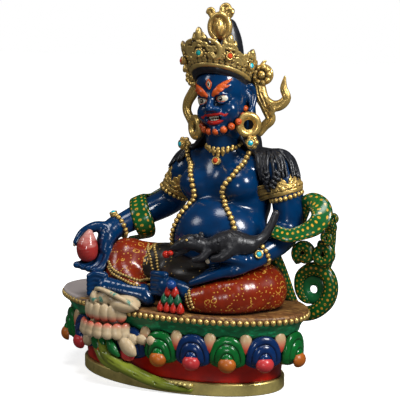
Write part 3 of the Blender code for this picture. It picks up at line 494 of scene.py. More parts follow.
class Clay:
    """Soft shapes pressed together on a grid of points, as wax is built up, in mm above the seat."""

    def __init__(self, low, high, grain):
        self.grain = grain * 1.0
        self.low = np.array(low, float)
        count = np.ceil((np.array(high) - self.low) / self.grain).astype(int) + 1
        self.field = np.full(count, FAR_AWAY, np.float32)

    def window(self, low, high):
        """The part of the grid between two corners, with the places of its points."""
        first = np.clip(np.floor((low - self.low) / self.grain).astype(int), 0, self.field.shape)
        last = np.clip(np.ceil((high - self.low) / self.grain).astype(int) + 1, first, self.field.shape)
        axes = [(self.low[k] + self.grain * np.arange(first[k], last[k])).astype(np.float32)
                for k in range(3)]
        return tuple(map(slice, first, last)), np.stack(np.meshgrid(*axes, indexing="ij"), -1)

    def press(self, where, shape, soft, carve):
        """Joins a shape, given by its distances, to the wax or carves it out, with a soft seam."""
        old = self.field[where]
        if carve:
            old = -old
        mix = np.clip(0.5 + 0.5 * (old - shape) / soft, 0, 1)
        new = old + (shape - old) * mix - soft * mix * (1 - mix)
        self.field[where] = -new if carve else new

    def ball(self, centre, radii, soft=3.0, turn=None, carve=False):
        """An egg with its three radii along x, y and z, or along the columns of turn."""
        centre, radii = np.array(centre, float), np.array(radii, float) * np.ones(3)
        reach = radii.max() + soft + 2 * self.grain
        where, points = self.window(centre - reach, centre + reach)
        off = points - centre.astype(np.float32)
        if turn is not None:
            off = off @ np.array(turn, np.float32)
        near = np.linalg.norm(off / radii, axis=-1)
        far = np.linalg.norm(off / radii**2, axis=-1)
        self.press(where, np.where(near < 0.01, -radii.min(), near * (near - 1) / (far + 1e-9)), soft, carve)

    def chain(self, stops, soft=3.0, flat=1.0, thin=(0, 1, 0), carve=False, steps=4):
        """A tube through stops of x, y, z and radius. flat is its thickness along thin, as a share of its
        width, and steps is how many straight pieces lie between two stops."""
        path = flowing(stops, steps)
        margin = path[:, 3].max() + soft + 3 * self.grain
        where, points = self.window((path[:, :3] - margin).min(0), (path[:, :3] + margin).max(0))
        shape = np.full(points.shape[:3], FAR_AWAY, np.float32)
        thin = np.array(thin, float) / np.linalg.norm(thin)
        for a, b in zip(path, path[1:]):
            edge = max(a[3], b[3]) + soft + 2 * self.grain
            part, spots = self.window(np.minimum(a, b)[:3] - edge, np.maximum(a, b)[:3] + edge)
            local = tuple(slice(p.start - w.start, p.stop - w.start) for p, w in zip(part, where))
            along = b[:3] - a[:3]
            off = spots - a[:3].astype(np.float32)
            t = np.clip(off @ along.astype(np.float32) / max(along @ along, 1e-9), 0, 1)
            off = off - t[..., None] * along.astype(np.float32)
            square = (off**2).sum(-1)
            if flat != 1.0:
                square = square + (off @ thin.astype(np.float32)) ** 2 * (1 / flat**2 - 1)
            gap = (np.sqrt(square) - (a[3] + (b[3] - a[3]) * t)) * (flat if flat < 1 else 1.0)
            np.minimum(shape[local], gap, out=shape[local])
        self.press(where, shape, soft, carve)

    def trim(self, low=None, high=None, axis=2):
        """Cuts the wax off flat below low or above high."""
        line = self.low[axis] + self.grain * np.arange(self.field.shape[axis])
        line = line.reshape([-1 if k == axis else 1 for k in range(3)])
        if low is not None:
            self.field = np.maximum(self.field, low - line).astype(np.float32)
        if high is not None:
            self.field = np.maximum(self.field, line - high).astype(np.float32)

    def surface(self):
        """The wax's skin as quads, with one point in each cell that it crosses."""
        field = np.pad(self.field, 1, constant_values=5.0)
        solid = field < 0
        cells = [n - 1 for n in field.shape]
        filled = sum(solid[i : i + cells[0], j : j + cells[1], k : k + cells[2]].astype(np.int8)
                     for i in (0, 1) for j in (0, 1) for k in (0, 1))
        mixed = (filled > 0) & (filled < 8)
        index = np.full(cells, -1, np.int64)
        index[mixed] = np.arange(mixed.sum())
        home = np.argwhere(mixed)
        total, hits = np.zeros((len(home), 3)), np.zeros(len(home))
        for axis in range(3):
            for pair in ((0, 0), (0, 1), (1, 0), (1, 1)):
                start = np.insert(pair, axis, 0)
                end = np.insert(pair, axis, 1)
                a, b = field[tuple((home + start).T)], field[tuple((home + end).T)]
                cross = (a < 0) != (b < 0)
                share = np.where(cross, a / np.where(cross, a - b, 1), 0)
                total += cross[:, None] * (start + share[:, None] * (end - start))
                hits += cross
        places = (home + total / hits[:, None] - 1) * self.grain + self.low
        faces = []
        for axis in range(3):
            u, v = (axis + 1) % 3, (axis + 2) % 3
            low = [slice(1, -1)] * 3
            low[axis] = slice(0, -1)
            high = list(low)
            high[axis] = slice(1, None)
            start, end = solid[tuple(low)], solid[tuple(high)]
            for edges, order in ((start & ~end, (0, 1, 2, 3)), (end & ~start, (3, 2, 1, 0))):
                edge = np.argwhere(edges) + [0 if k == axis else 1 for k in range(3)]
                quad = []
                for du, dv in ((0, 0), (-1, 0), (-1, -1), (0, -1)):
                    shift = np.zeros(3, int)
                    shift[u], shift[v] = du, dv
                    quad.append(index[tuple((edge + shift).T)])
                faces.append(np.stack([quad[k] for k in order], 1))
        return places, np.concatenate(faces)


def clay_form(name, clay, finish, slot="figure_enamel", turn=None, centre=None):
    """The wax as a piece of the statue, turned and moved to centre where it was shaped upright."""
    places, faces = clay.surface()
    if turn is not None:
        places = places @ np.array(turn).T + centre
    return form(name, places, faces.tolist(), finish, slot, lift=SEAT)


skin_blue = enamel("skin_blue", (0.0003, 0.032, 0.112), (0.0002, 0.012, 0.045), gloss=0.13,
                   wear=0.0, shade_antiquing_reach=0.008)
body = Clay((-78, -45, 6), (112, 52, 158), 1.05)
body.ball((38, 21, 14), (36, 25, 20), 6)
body.ball((36, 4, 59), (43, 37, 36), 6)
body.ball((35, 16, 100), (35, 26, 31), 6)
body.ball((54, 3, 104), (19, 17.5, 16.5), 5)
body.ball((16, 3, 102), (18, 16.5, 15.5), 5)
body.ball((53, 18, 86), (23, 22, 25), 6)
body.ball((35, 20, 121), (48, 18, 14), 8)
body.chain([(34, 18, 122, 18), (34, 14, 140, 16), (34, 12, 158, 16)], 7)
body.chain([(82, 21, 116, 15.5), (92, 21, 94, 14), (94, 18, 68, 12.5), (93, 0, 57, 11),
            (84, -19, 48.5, 9.0)], 4)
body.chain([(-6, 21, 110, 15), (-19, 26, 94, 13.5), (-28, 27, 80, 12.5), (-43, 4, 70, 11.2),
            (-56, -17, 60.5, 9.4)], 4)
body.chain([(12, -19, 88, 1.0), (24, -26, 86.5, 1.7), (38, -30, 86.3, 2.0), (54, -27, 87.5, 1.6),
            (66, -18, 90, 0.8)], 3.0, carve=True)
body.chain([(66, -18, 80, 0.8), (73, -10, 78, 1.2), (78, 0, 79, 0.8)], 2.0, carve=True)
body.ball((37, -33.5, 47), (2.4, 3.0, 1.8), 2.0, carve=True)
body.trim(low=1.0)
skin = clay_form("body", body, skin_blue)
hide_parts("figure")
graph = bpy.context.evaluated_depsgraph_get()
skin_tree = BVHTree.FromObject(skin, graph)
IN_FRONT = -200
BACKWARDS = Vector((0, 1, 0))

# The chains, armlets and bracelets are cast on the body and gilded: two long strings of beads, a collar with
# pendants, filigree plates on the upper arms over beaded bands, and beaded bracelets.
chain_gold = brass("chain_gold", (0.84, 0.56, 0.17), shade_antiquing_reach=0.0030, depth=0.95)


def in_scene(place):
    """A place in mm above the seat, in the scene's metres."""
    return (Vector(place) + Vector((0, 0, SEAT))) * MM


def above_seat(place):
    """A place of the scene, in mm above the seat."""
    return place / MM - Vector((0, 0, SEAT))


def skin_from(place, way, reach):
    """The body's surface where a ray meets it within reach, all in mm, or None."""
    hit = skin_tree.ray_cast(in_scene(place), way, reach * MM)[0]
    return hit and above_seat(hit)


def skin_near(spot, proud):
    """The place on the body nearest to a spot, raised proud of it."""
    near, normal = skin_tree.find_nearest(in_scene(spot))[:2]
    return above_seat(near) + normal * proud


def skin_front(x, z):
    """The place on the body seen from in front at x and z, and its normal."""
    hit, normal = skin_tree.ray_cast(in_scene((x, IN_FRONT, z)), BACKWARDS)[:2]
    return hit and above_seat(hit), normal


def laid_on(front, routes, proud):
    """Smooth lines through x and z, each laid on a surface whose front gives a place and a normal."""
    lines = []
    for route in routes:
        smooth = flowing([(x, z, 0, 0) for x, z in route], 6)
        met = [front(x, z) for x, z in smooth[:, :2]]
        lines.append([tuple(place + normal * proud) for place, normal in met if place])
    return lines


def ring_round(centre, normal, radius, count=60):
    """A circle round a wrist or an arm, as a line of places."""
    side, far, _ = Vector(normal).to_track_quat("Z", "Y").to_matrix().transposed()
    turns = [2 * math.pi * k / count for k in range(count + 1)]
    return [tuple(Vector(centre) + (side * math.cos(t) + far * math.sin(t)) * radius) for t in turns]


left_garland = [
    (60.5, 132.7), (60.2, 125.4), (58.4, 119.3), (56.4, 113.0), (51.2, 106.5), (47.7, 99.2), (49.2, 89.7),
    (56.0, 82.5), (61.5, 75.0), (64.0, 67.0), (63.0, 58.0), (59.0, 50.0)]
right_garland = [
    (-1.2, 129.1), (4.8, 121.6), (12.3, 114.7), (17.1, 107.2), (19.3, 98.7), (18.6, 91.5), (16.0, 85.0),
    (11.2, 78.0), (6.8, 69.9), (3.4, 60.7), (1.0, 50.8), (3.0, 43.0)]
garlands = laid_on(skin_front, (left_garland, right_garland), 1.3)
beads("garlands", garlands, 4.6, 2.45, chain_gold, (0.96, 1.0, 1.0))
NECK = (35.6, 13.5)
collar = [(NECK[0] + 15.6 * math.cos(t), NECK[1] + 15.4 * math.sin(t), 138.4 + 6.5 * math.sin(t))
          for t in np.radians(np.linspace(0, 360, 61))]
bands = [ring_round((91.6, 20.6, 94.6), (-0.285, -0.114, 1.0), 13.6),
         ring_round((-22.0, 26.0, 89.0), (0.51, 0.10, 1.0), 13.4),
         ring_round((85.5, -15.5, 50.0), (0.40, 0.84, 0.38), 9.8),
         ring_round((-55.5, -15.5, 61.0), (0.47, 0.81, 0.37), 10.3)]
beads("arm_bands", bands, 4.2, 2.25, chain_gold, (0.94, 1.0, 1.0))
beads("collar", [collar], 3.9, 1.95, chain_gold, (0.85, 1.0, 1.0))


def hoop(centre, wide, tall, wire, turns, lean=(1.0, 0.0)):
    """Stops of an oval hoop that stands upright, its width shared between x and y as lean says."""
    x, y, z = centre
    return [(x + wide * lean[0] * math.cos(a), y + wide * lean[1] * math.cos(a), z + tall * math.sin(a), wire)
            for a in np.radians(turns)]


def rosette(clay, centre, reach, count, radii, soft):
    """Balls in a ring round a centre, flat in x and z."""
    x, y, z = centre
    for k in range(count):
        around = 2 * math.pi * k / count
        clay.ball((x + reach * math.cos(around), y, z + reach * math.sin(around)), radii, soft)


def curl(centre, outer, inner, start, turns, wire, depth=0.0):
    """Stops of a scroll wound inwards, flat in x and z."""
    stops = []
    steps = max(6, int(abs(turns) * 9))
    for i in range(steps + 1):
        share = i / steps
        reach = outer + (inner - outer) * share
        angle = math.radians(start) + 2 * math.pi * turns * share
        stops.append((centre[0] + reach * math.cos(angle), depth, centre[1] + reach * math.sin(angle),
                      wire * (1 - 0.25 * share)))
    return stops


def laid_plate(name, clay, centre, axis, front, radius):
    """Bends a flat plate round an arm, laid on the skin: x runs round the arm from front, and z along it."""
    axis = Vector(axis).normalized()
    front = (Vector(front) - axis * axis.dot(Vector(front))).normalized()
    side = axis.cross(front)
    places, faces = clay.surface()
    laid = []
    for x, y, z in places.tolist():
        turn = x / radius
        way = front * math.cos(turn) + side * math.sin(turn)
        start = Vector(centre) + axis * z
        home = skin_from(start + way * radius * 1.7, -way, radius * 1.4) or start + way * radius
        laid.append(tuple(home + way * -y))
    return form(name, laid, faces.tolist(), chain_gold, "figure_enamel", lift=SEAT)


for name, centre, axis, front, radius, tall, turns in (
    ("armlet_left", (91.0, 20.8, 97.5), (-0.30, -0.05, 1.0), (0.35, -1.0, 0.0), 14.5, 15.0,
     (-24, -12, 0, 12, 24)),
    ("armlet_right", (-20.5, 25.0, 91.5), (0.55, 0.05, 1.0), (-0.1, -1.0, 0.0), 14.5, 21.0, (-18, -6, 6, 18)),
):
    lace = Clay((-36, -4, -3), (36, 3, tall + 4), 0.55)
    lace.chain([(turns[0] - 6, 0.4, 0.4, 1.5), (turns[-1] + 6, 0.4, 0.4, 1.5)], 0.4)
    for k in turns:
        lace.ball((k, 0.6, tall * 0.40), (6.4, 1.2, tall * 0.42), 0.8)
        lace.ball((k, 0.4, tall * 0.86), (2.2, 1.4, tall * 0.14), 0.6)
        lace.ball((k, -0.8, tall * 0.30), (1.9, 1.3, 2.3), 0.3)
        for side in (-1, 1):
            lace.chain(curl((k + side * 3.1, tall * 0.36), 2.9, 0.7, 90 - side * 120, side * 1.4,
                            0.85, -0.6), 0.2)
            lace.chain(curl((k + side * 2.0, tall * 0.66), 2.1, 0.6, 90 - side * 100, side * 1.2,
                            0.75, -0.5), 0.2)
        lace.chain([(k - 5.6, -0.3, tall * 0.14, 0.8), (k, -0.5, tall * 0.10, 0.9),
                    (k + 5.6, -0.3, tall * 0.14, 0.8)], 0.2)
    laid_plate(name, lace, centre, axis, front, radius)
pendants = Clay((-22, -4, -14), (22, 3, 4), 0.5)
for k, drop in ((-3, 4.0), (-2, 5.0), (-1, 7.0), (0, 9.5), (1, 7.0), (2, 5.0), (3, 4.0)):
    x = k * 5.4
    pendants.ball((x, 0.2, -1.6), (2.3, 1.6, 2.2), 0.4)
    pendants.chain([(x, 0.0, -2.5, 2.0), (x, 0.0, -drop * 0.75, 2.2),
                    (x, 0.2, -drop - 1.2, 0.9)], 0.5, flat=0.7)
    pendants.chain(curl((x, -3.6), 1.5, 0.5, 90, 1.2, 0.55, -1.2), 0.2)
places, quads = pendants.surface()
laid = []
for x, y, z in places.tolist():
    turn = math.radians(-86) + x / 19.0
    height = 135.4 + 5.5 * (1 + math.sin(turn)) + z * 0.92
    start = Vector((*NECK, height)) + Vector((math.cos(turn), math.sin(turn), 0)) * 14.0
    way = Vector((math.cos(turn), math.sin(turn), 0.25))
    home = skin_from(start + way * 26, -way, 60) or start
    laid.append(tuple(home - way * y))
form("collar_pendants", laid, quads.tolist(), chain_gold, "figure_enamel", lift=SEAT)

# The hands. The left lies palm up under the mongoose, and the right turns its palm forwards over the knee
# with the jewel between thumb and fingers. They are cast with the arms, and the thumbnails are painted pale.
left_hand = Clay((28, -62, 14), (100, -8, 68), 0.6)
left_hand.chain([(90, -8, 52, 9.0), (84, -19, 48.5, 8.6), (81, -24, 47, 8.2)], 2)
left_hand.chain([(84, -21, 47, 8.2), (75, -30, 43, 9.6), (66, -34, 39, 9.4)], 4, flat=0.62,
                thin=(0.25, -0.55, 0.8))
left_hand.chain([(79, -33, 46, 5.4), (70, -38, 48.5, 4.6), (60, -41, 48, 4.0), (51, -41.5, 44.8, 3.6)], 2.5)
for k in range(4):
    left_hand.chain([(70, -38 + 4.6 * k, 38 + k, 4.5), (58, -42 + 4.8 * k, 34 + 1.4 * k, 4.0),
                     (48, -44.5 + 5.1 * k, 30 + 2.0 * k, 3.7),
                     (36 + 2.5 * k, -46 + 5.4 * k, 25 + 2.4 * k, 2.8)], 1.0)
clay_form("left_hand", left_hand, skin_blue)
right_hand = Clay((-92, -62, 16), (-42, -8, 76), 0.6)
right_hand.chain([(-50, -8, 65, 9.8), (-56, -17, 60.5, 9.2), (-58, -21, 59, 8.8)], 2)
right_hand.chain([(-58, -20, 60, 8.6), (-59, -30, 52, 10.5), (-60, -35, 42, 10)], 4, flat=0.62,
                 thin=(0.55, 0.75, 0.3))
right_hand.chain([(-59, -27, 60, 5.4), (-68, -35, 62, 4.8), (-76, -43, 57, 4.2), (-79.5, -48, 49, 3.4)], 2.5)
for k in range(4):
    x = -52 - 6.2 * k
    right_hand.chain([(x, -36, 42, 4.6), (x - 1, -43, 32, 4.2), (x - 3, -49, 27 + k, 3.8),
                      (x - 6, -53, 27 + k, 3.0)], 1.0)
clay_form("right_hand", right_hand, skin_blue)
nail_white = enamel("nail_white", (0.62, 0.55, 0.42), (0.45, 0.36, 0.24), gloss=0.25)
nails = Clay((-92, -62, 16), (60, -36, 60), 0.5)
nails.ball((50.6, -44.4, 45.0), (2.6, 1.2, 2.2), 0.2)
nails.ball((-80.6, -50.2, 47.5), (1.4, 1.2, 2.2), 0.2)
clay_form("nails", nails, nail_white)

# The feet. The left lies flat on its outer edge in front of the lap, and the right treads on the small lotus.
# They are cast with the legs and painted with the same blue as the body.
feet = Clay((-68, -74, 0.4), (50, -30, 36), 0.65)
feet.chain([(-13, -46, 10, 9), (-28, -54, 13.5, 7.6), (-43, -60, 16.5, 8.4)], 3, flat=0.8,
           thin=(0.3, 0.8, -0.5))
feet.ball((-8, -46, 6), (7.5, 7, 6.5), 3)
for k in range(5):
    z = 9.5 + 3.9 * k
    feet.chain([(-43, -59.5, z, 3.3), (-50, -62.8, z + 1.4, 2.7), (-55, -64.5, z - 0.2 * k, 3.0)], 0.8)
feet.chain([(40, -41, 12, 8.5), (26, -45, 17, 8), (10, -45, 20, 8.2)], 3, flat=0.75, thin=(0, 0.9, -0.4))
for k in range(5):
    z = 12.5 + 4.1 * k
    feet.chain([(10, -46, z, 3.2), (3, -46.5, z + 0.6, 2.6), (-2.5, -45.5, z, 2.7)], 0.8)
clay_form("feet", feet, skin_blue)

# The trousers and the cloth of the lap. They are cast over the legs and painted red-orange with fine gold
# dots and scrolls. Two rows of gilded beads stand on each leg's hem.


def cells(tree, place, scale, randomness):
    """How far each place lies from the middle of its cell."""
    sizes = {"Vector": place, "Scale": scale, "Randomness": randomness}
    return add(tree, "ShaderNodeTexVoronoi", sizes).outputs["Distance"]


def gold_scrolls(tree, place, tone):
    """Fine dots and curling lines in gold paint."""
    warp = add(tree, "ShaderNodeTexNoise", {"Vector": place, "Scale": 55.0, "Detail": 1.0}).outputs["Color"]
    small = add(tree, "ShaderNodeVectorMath", {0: warp, 1: (0.010, 0.010, 0.010)},
                operation="MULTIPLY").outputs[0]
    bent = add(tree, "ShaderNodeVectorMath", {0: place, 1: small}, operation="ADD").outputs[0]
    rings = cells(tree, bent, 125.0, 0.7)
    off_line = sums(tree, "ABSOLUTE", sums(tree, "SUBTRACT", rings, 0.30))
    broken = span(tree, noise(tree, place, 150.0, 2.0), 0.5, 0.54)
    lines = sums(tree, "MULTIPLY", span(tree, off_line, 0.05, 0.02), broken)
    dots = cells(tree, place, 330.0, 0.8)
    marks = sums(tree, "MAXIMUM", lines, span(tree, dots, 0.24, 0.17))
    rubbed = span(tree, noise(tree, place, 420.0, 3.0), 0.34, 0.46)
    return blend(tree, sums(tree, "MULTIPLY", marks, rubbed), tone, (0.62, 0.33, 0.05))


trouser_red = enamel("trouser_red", (0.25, 0.020, 0.003), (0.09, 0.006, 0.002), gloss=0.18, wear=0.2,
                     shade_antiquing_reach=0.005, figure=gold_scrolls)
lap = Clay((-70, -60, 0.2), (108, 54, 52), 1.0)
lap.chain([(22, 12, 20, 25), (-14, -8, 26, 21.5), (-42, -24, 33, 18)], 6)
lap.chain([(-42, -24, 33, 18), (-39, -34, 23, 17), (-26, -42, 13, 14)], 6)
lap.chain([(56, 14, 14, 25), (72, 10, 15, 22), (80, 0, 16, 20)], 6)
lap.chain([(80, -3, 15, 20), (69, -22, 14.5, 20), (54, -35, 12, 16.5), (40, -41, 10, 12)], 6)
lap.ball((24, 4, 12), (60, 34, 20), 6)
lap.ball((37, 22, 11), (40, 27.5, 19), 4)
lap.trim(low=0.4)
clay_form("trousers", lap, trouser_red)


def front_of(clay):
    """A function that gives the place on a clay's surface seen from in front at x and z, and its normal."""
    places, quads = clay.surface()
    tree = BVHTree.FromPolygons(places.tolist(), quads.tolist())
    return lambda x, z: tree.ray_cast(Vector((x, IN_FRONT, z)), BACKWARDS)[:2]


hem_gold = brass("hem_gold", (0.60, 0.40, 0.13), rough=0.4, shade_antiquing_reach=0.002, depth=0.9)
hem_routes = (
    [(-47, 34), (-42, 30.1), (-35.4, 27.4), (-24.5, 24.4), (-15.3, 21), (-10, 18)],
    [(-46, 30), (-41, 26.5), (-34, 23.8), (-24, 20.8), (-15, 17.4), (-10, 14.5)],
    [(29, 26), (33.5, 20), (38.2, 13.5), (41, 6)], [(26.5, 24), (30.5, 18), (35, 11.5), (38, 4.5)])
beads("hems", laid_on(front_of(lap), hem_routes, 0.5), 2.6, 1.45, hem_gold)

# The apron hangs over the right thigh and fills the lap under the belly. It is cast with the trousers,
# painted black, and its gold border of painted lace lies between two rows of beads.


def gold_border(tree, place, tone):
    """A strip of gold lace down the apron's edge, and gold stars beside it."""
    edge = sums(tree, "ADD", part_of(tree, place, "X"),
                span(tree, noise(tree, place, 60.0, 1.0), 0.3, 0.7, -0.001, 0.001))
    strip = sums(tree, "MULTIPLY", span(tree, edge, -0.0275, -0.0265), span(tree, edge, -0.0155, -0.0165))
    dots = cells(tree, place, 260.0, 0.6)
    lace = span(tree, sums(tree, "ABSOLUTE", sums(tree, "SUBTRACT", dots, 0.33)), 0.16, 0.08)
    stars = sums(tree, "MULTIPLY", span(tree, dots, 0.16, 0.1),
                 span(tree, noise(tree, place, 90.0), 0.5, 0.55))
    tone = blend(tree, sums(tree, "MULTIPLY", strip, lace), tone, (0.62, 0.38, 0.09))
    return blend(tree, stars, tone, (0.62, 0.38, 0.09))


apron_black = enamel("apron_black", (0.012, 0.008, 0.006), (0.004, 0.003, 0.002), gloss=0.3,
                     figure=gold_border, wear=0.3)
apron = Clay((-40, -58, 3), (62, 20, 56), 0.9)
apron.chain([(24, 4, 22, 27), (0, -6, 25, 24.5), (-18, -13, 26.5, 22)], 6)
apron.ball((26, -14, 26), (36, 29, 18), 6)
apron.trim(3.5, 48)
apron.trim(-27, axis=0)
clay_form("apron", apron, apron_black)
apron_edge = ((-24, 48), (-15, 40), (-11, 32), (-8, 23), (-10, 12))
border_routes = [[(x + shift, z + shift * 0.4) for x, z in apron_edge] for shift in (0, 4.5)]
beads("apron_border", laid_on(front_of(apron), border_routes, 0.4), 2.8, 1.35, hem_gold)

# The head is cast separately and joined at the neck. Its fierce face has a third eye, bulging eyes, flame
# brows and a snarling mouth. It is shaped upright here, and then leans 9 degrees to the statue's right.
LEAN = math.radians(9)
HEAD = np.array((37.5, 8.0, 172.0))
TURN = np.array(((math.cos(LEAN), 0, -math.sin(LEAN)), (0, 1, 0), (math.sin(LEAN), 0, math.cos(LEAN))))
SHAPED = {"turn": TURN, "centre": HEAD}
EYE_SIDE = 9.3
face = Clay((-31, -34, -34), (31, 34, 44), 0.55)
face.ball((0, 4, 10), (22.5, 25, 27), 3)
face.ball((0, -2, 18), (20.5, 20, 19), 5)
face.ball((0, -5, -8), (18.5, 17, 17), 6)
face.ball((0, 6, -18), (16, 15, 16), 6)
for side in (-1, 1):
    face.ball((side * 11.5, -13, -5), (8, 7.5, 8), 4)
    face.chain([(side * 4.5, -21.0, 9.5, 2.4), (side * 9.5, -20.4, 12.5, 3.0), (side * 15, -15, 15, 2.6)], 3)
    face.ball((side * EYE_SIDE, -22.0, 5.6), (6.0, 4.0, 3.9), 2.5, carve=True)
    face.ball((side * EYE_SIDE, -16.2, 5.8), (6.4, 5.6, 5.2), 0.8)
    face.chain([(side * 4.6, -21.0, 8.0, 1.0), (side * EYE_SIDE, -22.2, 9.8, 1.5),
                (side * 14.2, -18.2, 8.4, 1.0)], 1.0)
    face.chain([(side * 4.8, -20.6, 3.6, 0.9), (side * EYE_SIDE, -21.2, 1.9, 1.2),
                (side * 13.8, -18.0, 3.4, 0.9)], 1.0)
    face.ball((side * 4.8, -23.6, -3.0), (3.2, 3.4, 2.7), 1.5)
    face.chain([(side * 22, 3, 12, 2.0), (side * 25.0, 5.5, 12.5, 2.4), (side * 25.6, 9, 5, 2.4),
                (side * 24.5, 5.5, -4, 2.4), (side * 23.2, 2, -9, 3.2), (side * 23, 1.5, -12, 3.0)], 1.2)
    face.ball((side * 22.4, 5, 4), (2.6, 4.6, 8), 1.5)
    face.chain([(side * 22.4, 1.5, 8, 1.3), (side * 24.4, 2.5, 3, 1.5), (side * 23.6, 2, -3, 1.3)], 1.0)
face.chain([(0, -19.5, 11, 2.8), (0, -24, 3, 3.0), (0, -27, -1.6, 4.1)], 2.5)
face.ball((0, -28.5, -5.4), (6.0, 3.0, 1.6), 1.5, carve=True)
face.ball((0, -17, -20.5), (8, 6.5, 5.6), 4)
face.ball((0.5, -20.5, -9.5), (10, 4.5, 5.6), 3)
face.ball((0.5, -24.0, -10.4), (7.6, 4.2, 2.7), 1.0, carve=True)
clay_form("face", face, skin_blue, **SHAPED)

# The paint of the face stands a little proud of it: orange rising brows, white eyes with orange rims and dark
# pupils, red lips with a curled moustache, white teeth, and the orange curls of the beard.
face_front = front_of(face)
brow_orange = enamel("brow_orange", (0.62, 0.10, 0.012), (0.36, 0.035, 0.006), gloss=0.24, wear=0.0)
eye_white = enamel("eye_white", (0.70, 0.66, 0.52), (0.52, 0.45, 0.30), gloss=0.15, wear=0.0)
pupil_black = enamel("pupil_black", (0.006, 0.005, 0.005), (0.002, 0.002, 0.002), gloss=0.1, wear=0.0)
lip_red = enamel("lip_red", (0.42, 0.014, 0.010), (0.20, 0.006, 0.006), gloss=0.2, wear=0.0)


def on_face(x, z):
    """The face's surface at x and z, seen from in front."""
    return tuple(face_front(x, z)[0] or (x, -18.0, z))


def painted_on(stops, proud=0.0):
    """Stops of x, z and radius laid on the face."""
    laid = [(*on_face(x, z), radius) for x, z, radius in stops]
    return [(x, y - proud, z, radius) for x, y, z, radius in laid]


brows = Clay((-24, -34, -24), (24, 4, 34), 0.42)
for side in (-1, 1):
    brows.chain(painted_on([(side * 3.0, 9.2, 1.5), (side * 6.5, 12.4, 2.5), (side * 11.5, 16.4, 2.5),
                            (side * 17.2, 20.6, 0.8)]), 0.6, flat=0.5)
    for across, up in ((5.0, 11.0), (8.4, 13.2), (12.0, 15.6)):
        brows.chain(painted_on([(side * across, up, 1.6), (side * (across + 2.6), up - 0.8, 1.2),
                                (side * (across + 4.8), up + 0.2, 0.4)]), 0.4, flat=0.6)
clay_form("brows", brows, brow_orange, **SHAPED)
eyes, rims, pupils = [Clay((-20, -34, -2), (20, -8, 28), 0.3) for _ in range(3)]
for side in (-1, 1):
    eyes.ball((side * EYE_SIDE, -16.6, 5.6), (6.0, 5.8, 5.0), 0.2)
    pupils.ball((side * EYE_SIDE - 0.2, -21.9, 5.6), (1.9, 1.0, 1.9), 0.2)
    eyes.ball((side * EYE_SIDE - 0.2, -22.4, 5.8), (0.6, 0.9, 0.6), 0.1)
    rims.chain([(side * 4.4, -20.4, 6.0, 0.6), (side * 6.5, -21.6, 8.2, 0.7),
                (side * EYE_SIDE, -21.8, 9.0, 0.8), (side * 12, -20.6, 8.2, 0.7),
                (side * 14.4, -17.6, 6.2, 0.5), (side * 12, -20.2, 3.4, 0.7),
                (side * EYE_SIDE, -21.2, 2.6, 0.8), (side * 6.5, -21.2, 3.6, 0.7),
                (side * 4.4, -20.4, 6.0, 0.6)], 0.3)
x, y, z = on_face(0, 19)
eyes.ball((x, y, z), (1.7, 0.9, 3.2), 0.2)
pupils.ball((x, y - 0.7, z), (0.8, 0.6, 1.5), 0.2)
rims.chain([(x, y - 0.2, z + 4.2, 0.6), (x + 2.0, y - 0.2, z + 1, 0.7), (x + 2.0, y - 0.2, z - 1, 0.7),
            (x, y - 0.2, z - 4.2, 0.6), (x - 2.0, y - 0.2, z - 1, 0.7), (x - 2.0, y - 0.2, z + 1, 0.7),
            (x, y - 0.2, z + 4.2, 0.6)], 0.3)
for name, clay, finish in (("eyes", eyes, eye_white), ("eye_rims", rims, brow_orange),
                           ("pupils", pupils, pupil_black)):
    clay_form(name, clay, finish, **SHAPED)
lips = Clay((-14, -32, -20), (15, -12, -2), 0.35)
lips.chain([(-8.5, -18.8, -9.2, 0.9), (-5, -22.6, -7.2, 1.5), (0.5, -24.0, -6.8, 1.6), (6, -22.6, -7.2, 1.5),
            (9.5, -18.8, -9.0, 0.9), (7, -21.2, -12.6, 1.5), (0.5, -23.4, -14.2, 1.8),
            (-6, -21.2, -12.6, 1.5), (-8.5, -18.8, -9.2, 0.9)], 0.5)
for side in (-1, 1):
    lips.chain(painted_on([(side * 2.0, -6.2, 0.6), (side * 6.5, -6.6, 1.1), (side * 10.5, -8.8, 1.2),
                           (side * 13.0, -7.6, 0.5)], -0.2), 0.4, flat=0.6)
clay_form("lips", lips, lip_red, **SHAPED)
teeth = Clay((-9, -28, -15), (10, -14, -5), 0.3)
for k in range(-3, 4):
    teeth.ball((0.5 + k * 1.9, -22.0 + 0.16 * k * k, -8.9), (1.0, 1.1, 1.6), 0.15)
    teeth.ball((0.5 + k * 1.7, -21.4 + 0.16 * k * k, -12.0), (0.9, 1.1, 1.3), 0.15)
clay_form("teeth", teeth, eye_white, **SHAPED)
beard = Clay((-28, -32, -34), (28, 10, 4), 0.45)
for k in range(11):
    around = math.radians(-90 + (k - 5) * 21)
    x, y = 19.6 * math.cos(around), -4 + 17.5 * math.sin(around)
    z = -21.5 + 0.62 * (k - 5) ** 2
    beard.ball((x, y, z), (3.1, 3.1, 3.1), 0.4)
    beard.chain([(x * 1.13, y * 1.13, z + 1.8, 0.45), (x * 1.16 + 1.6, y * 1.16, z, 0.45),
                 (x * 1.14, y * 1.16, z - 1.6, 0.45), (x * 1.14 - 1.2, y * 1.16, z, 0.45)], 0.4, carve=True)
clay_form("beard", beard, brow_orange, **SHAPED)

# The hair is cast with the head and painted black. A cap and a combed roll show under the crown, a high knot
# stands behind the crest, locks fall over the back, and a cape of strands lies on each shoulder, the left one
# with two braids.


def strand(tree, place, tone):
    """Light grey caught on fine strands."""
    fine = noise(tree, place, 300.0, 3.0)
    return blend(tree, span(tree, fine, 0.5, 0.72, 0.0, 0.5), tone, (0.035, 0.04, 0.055))


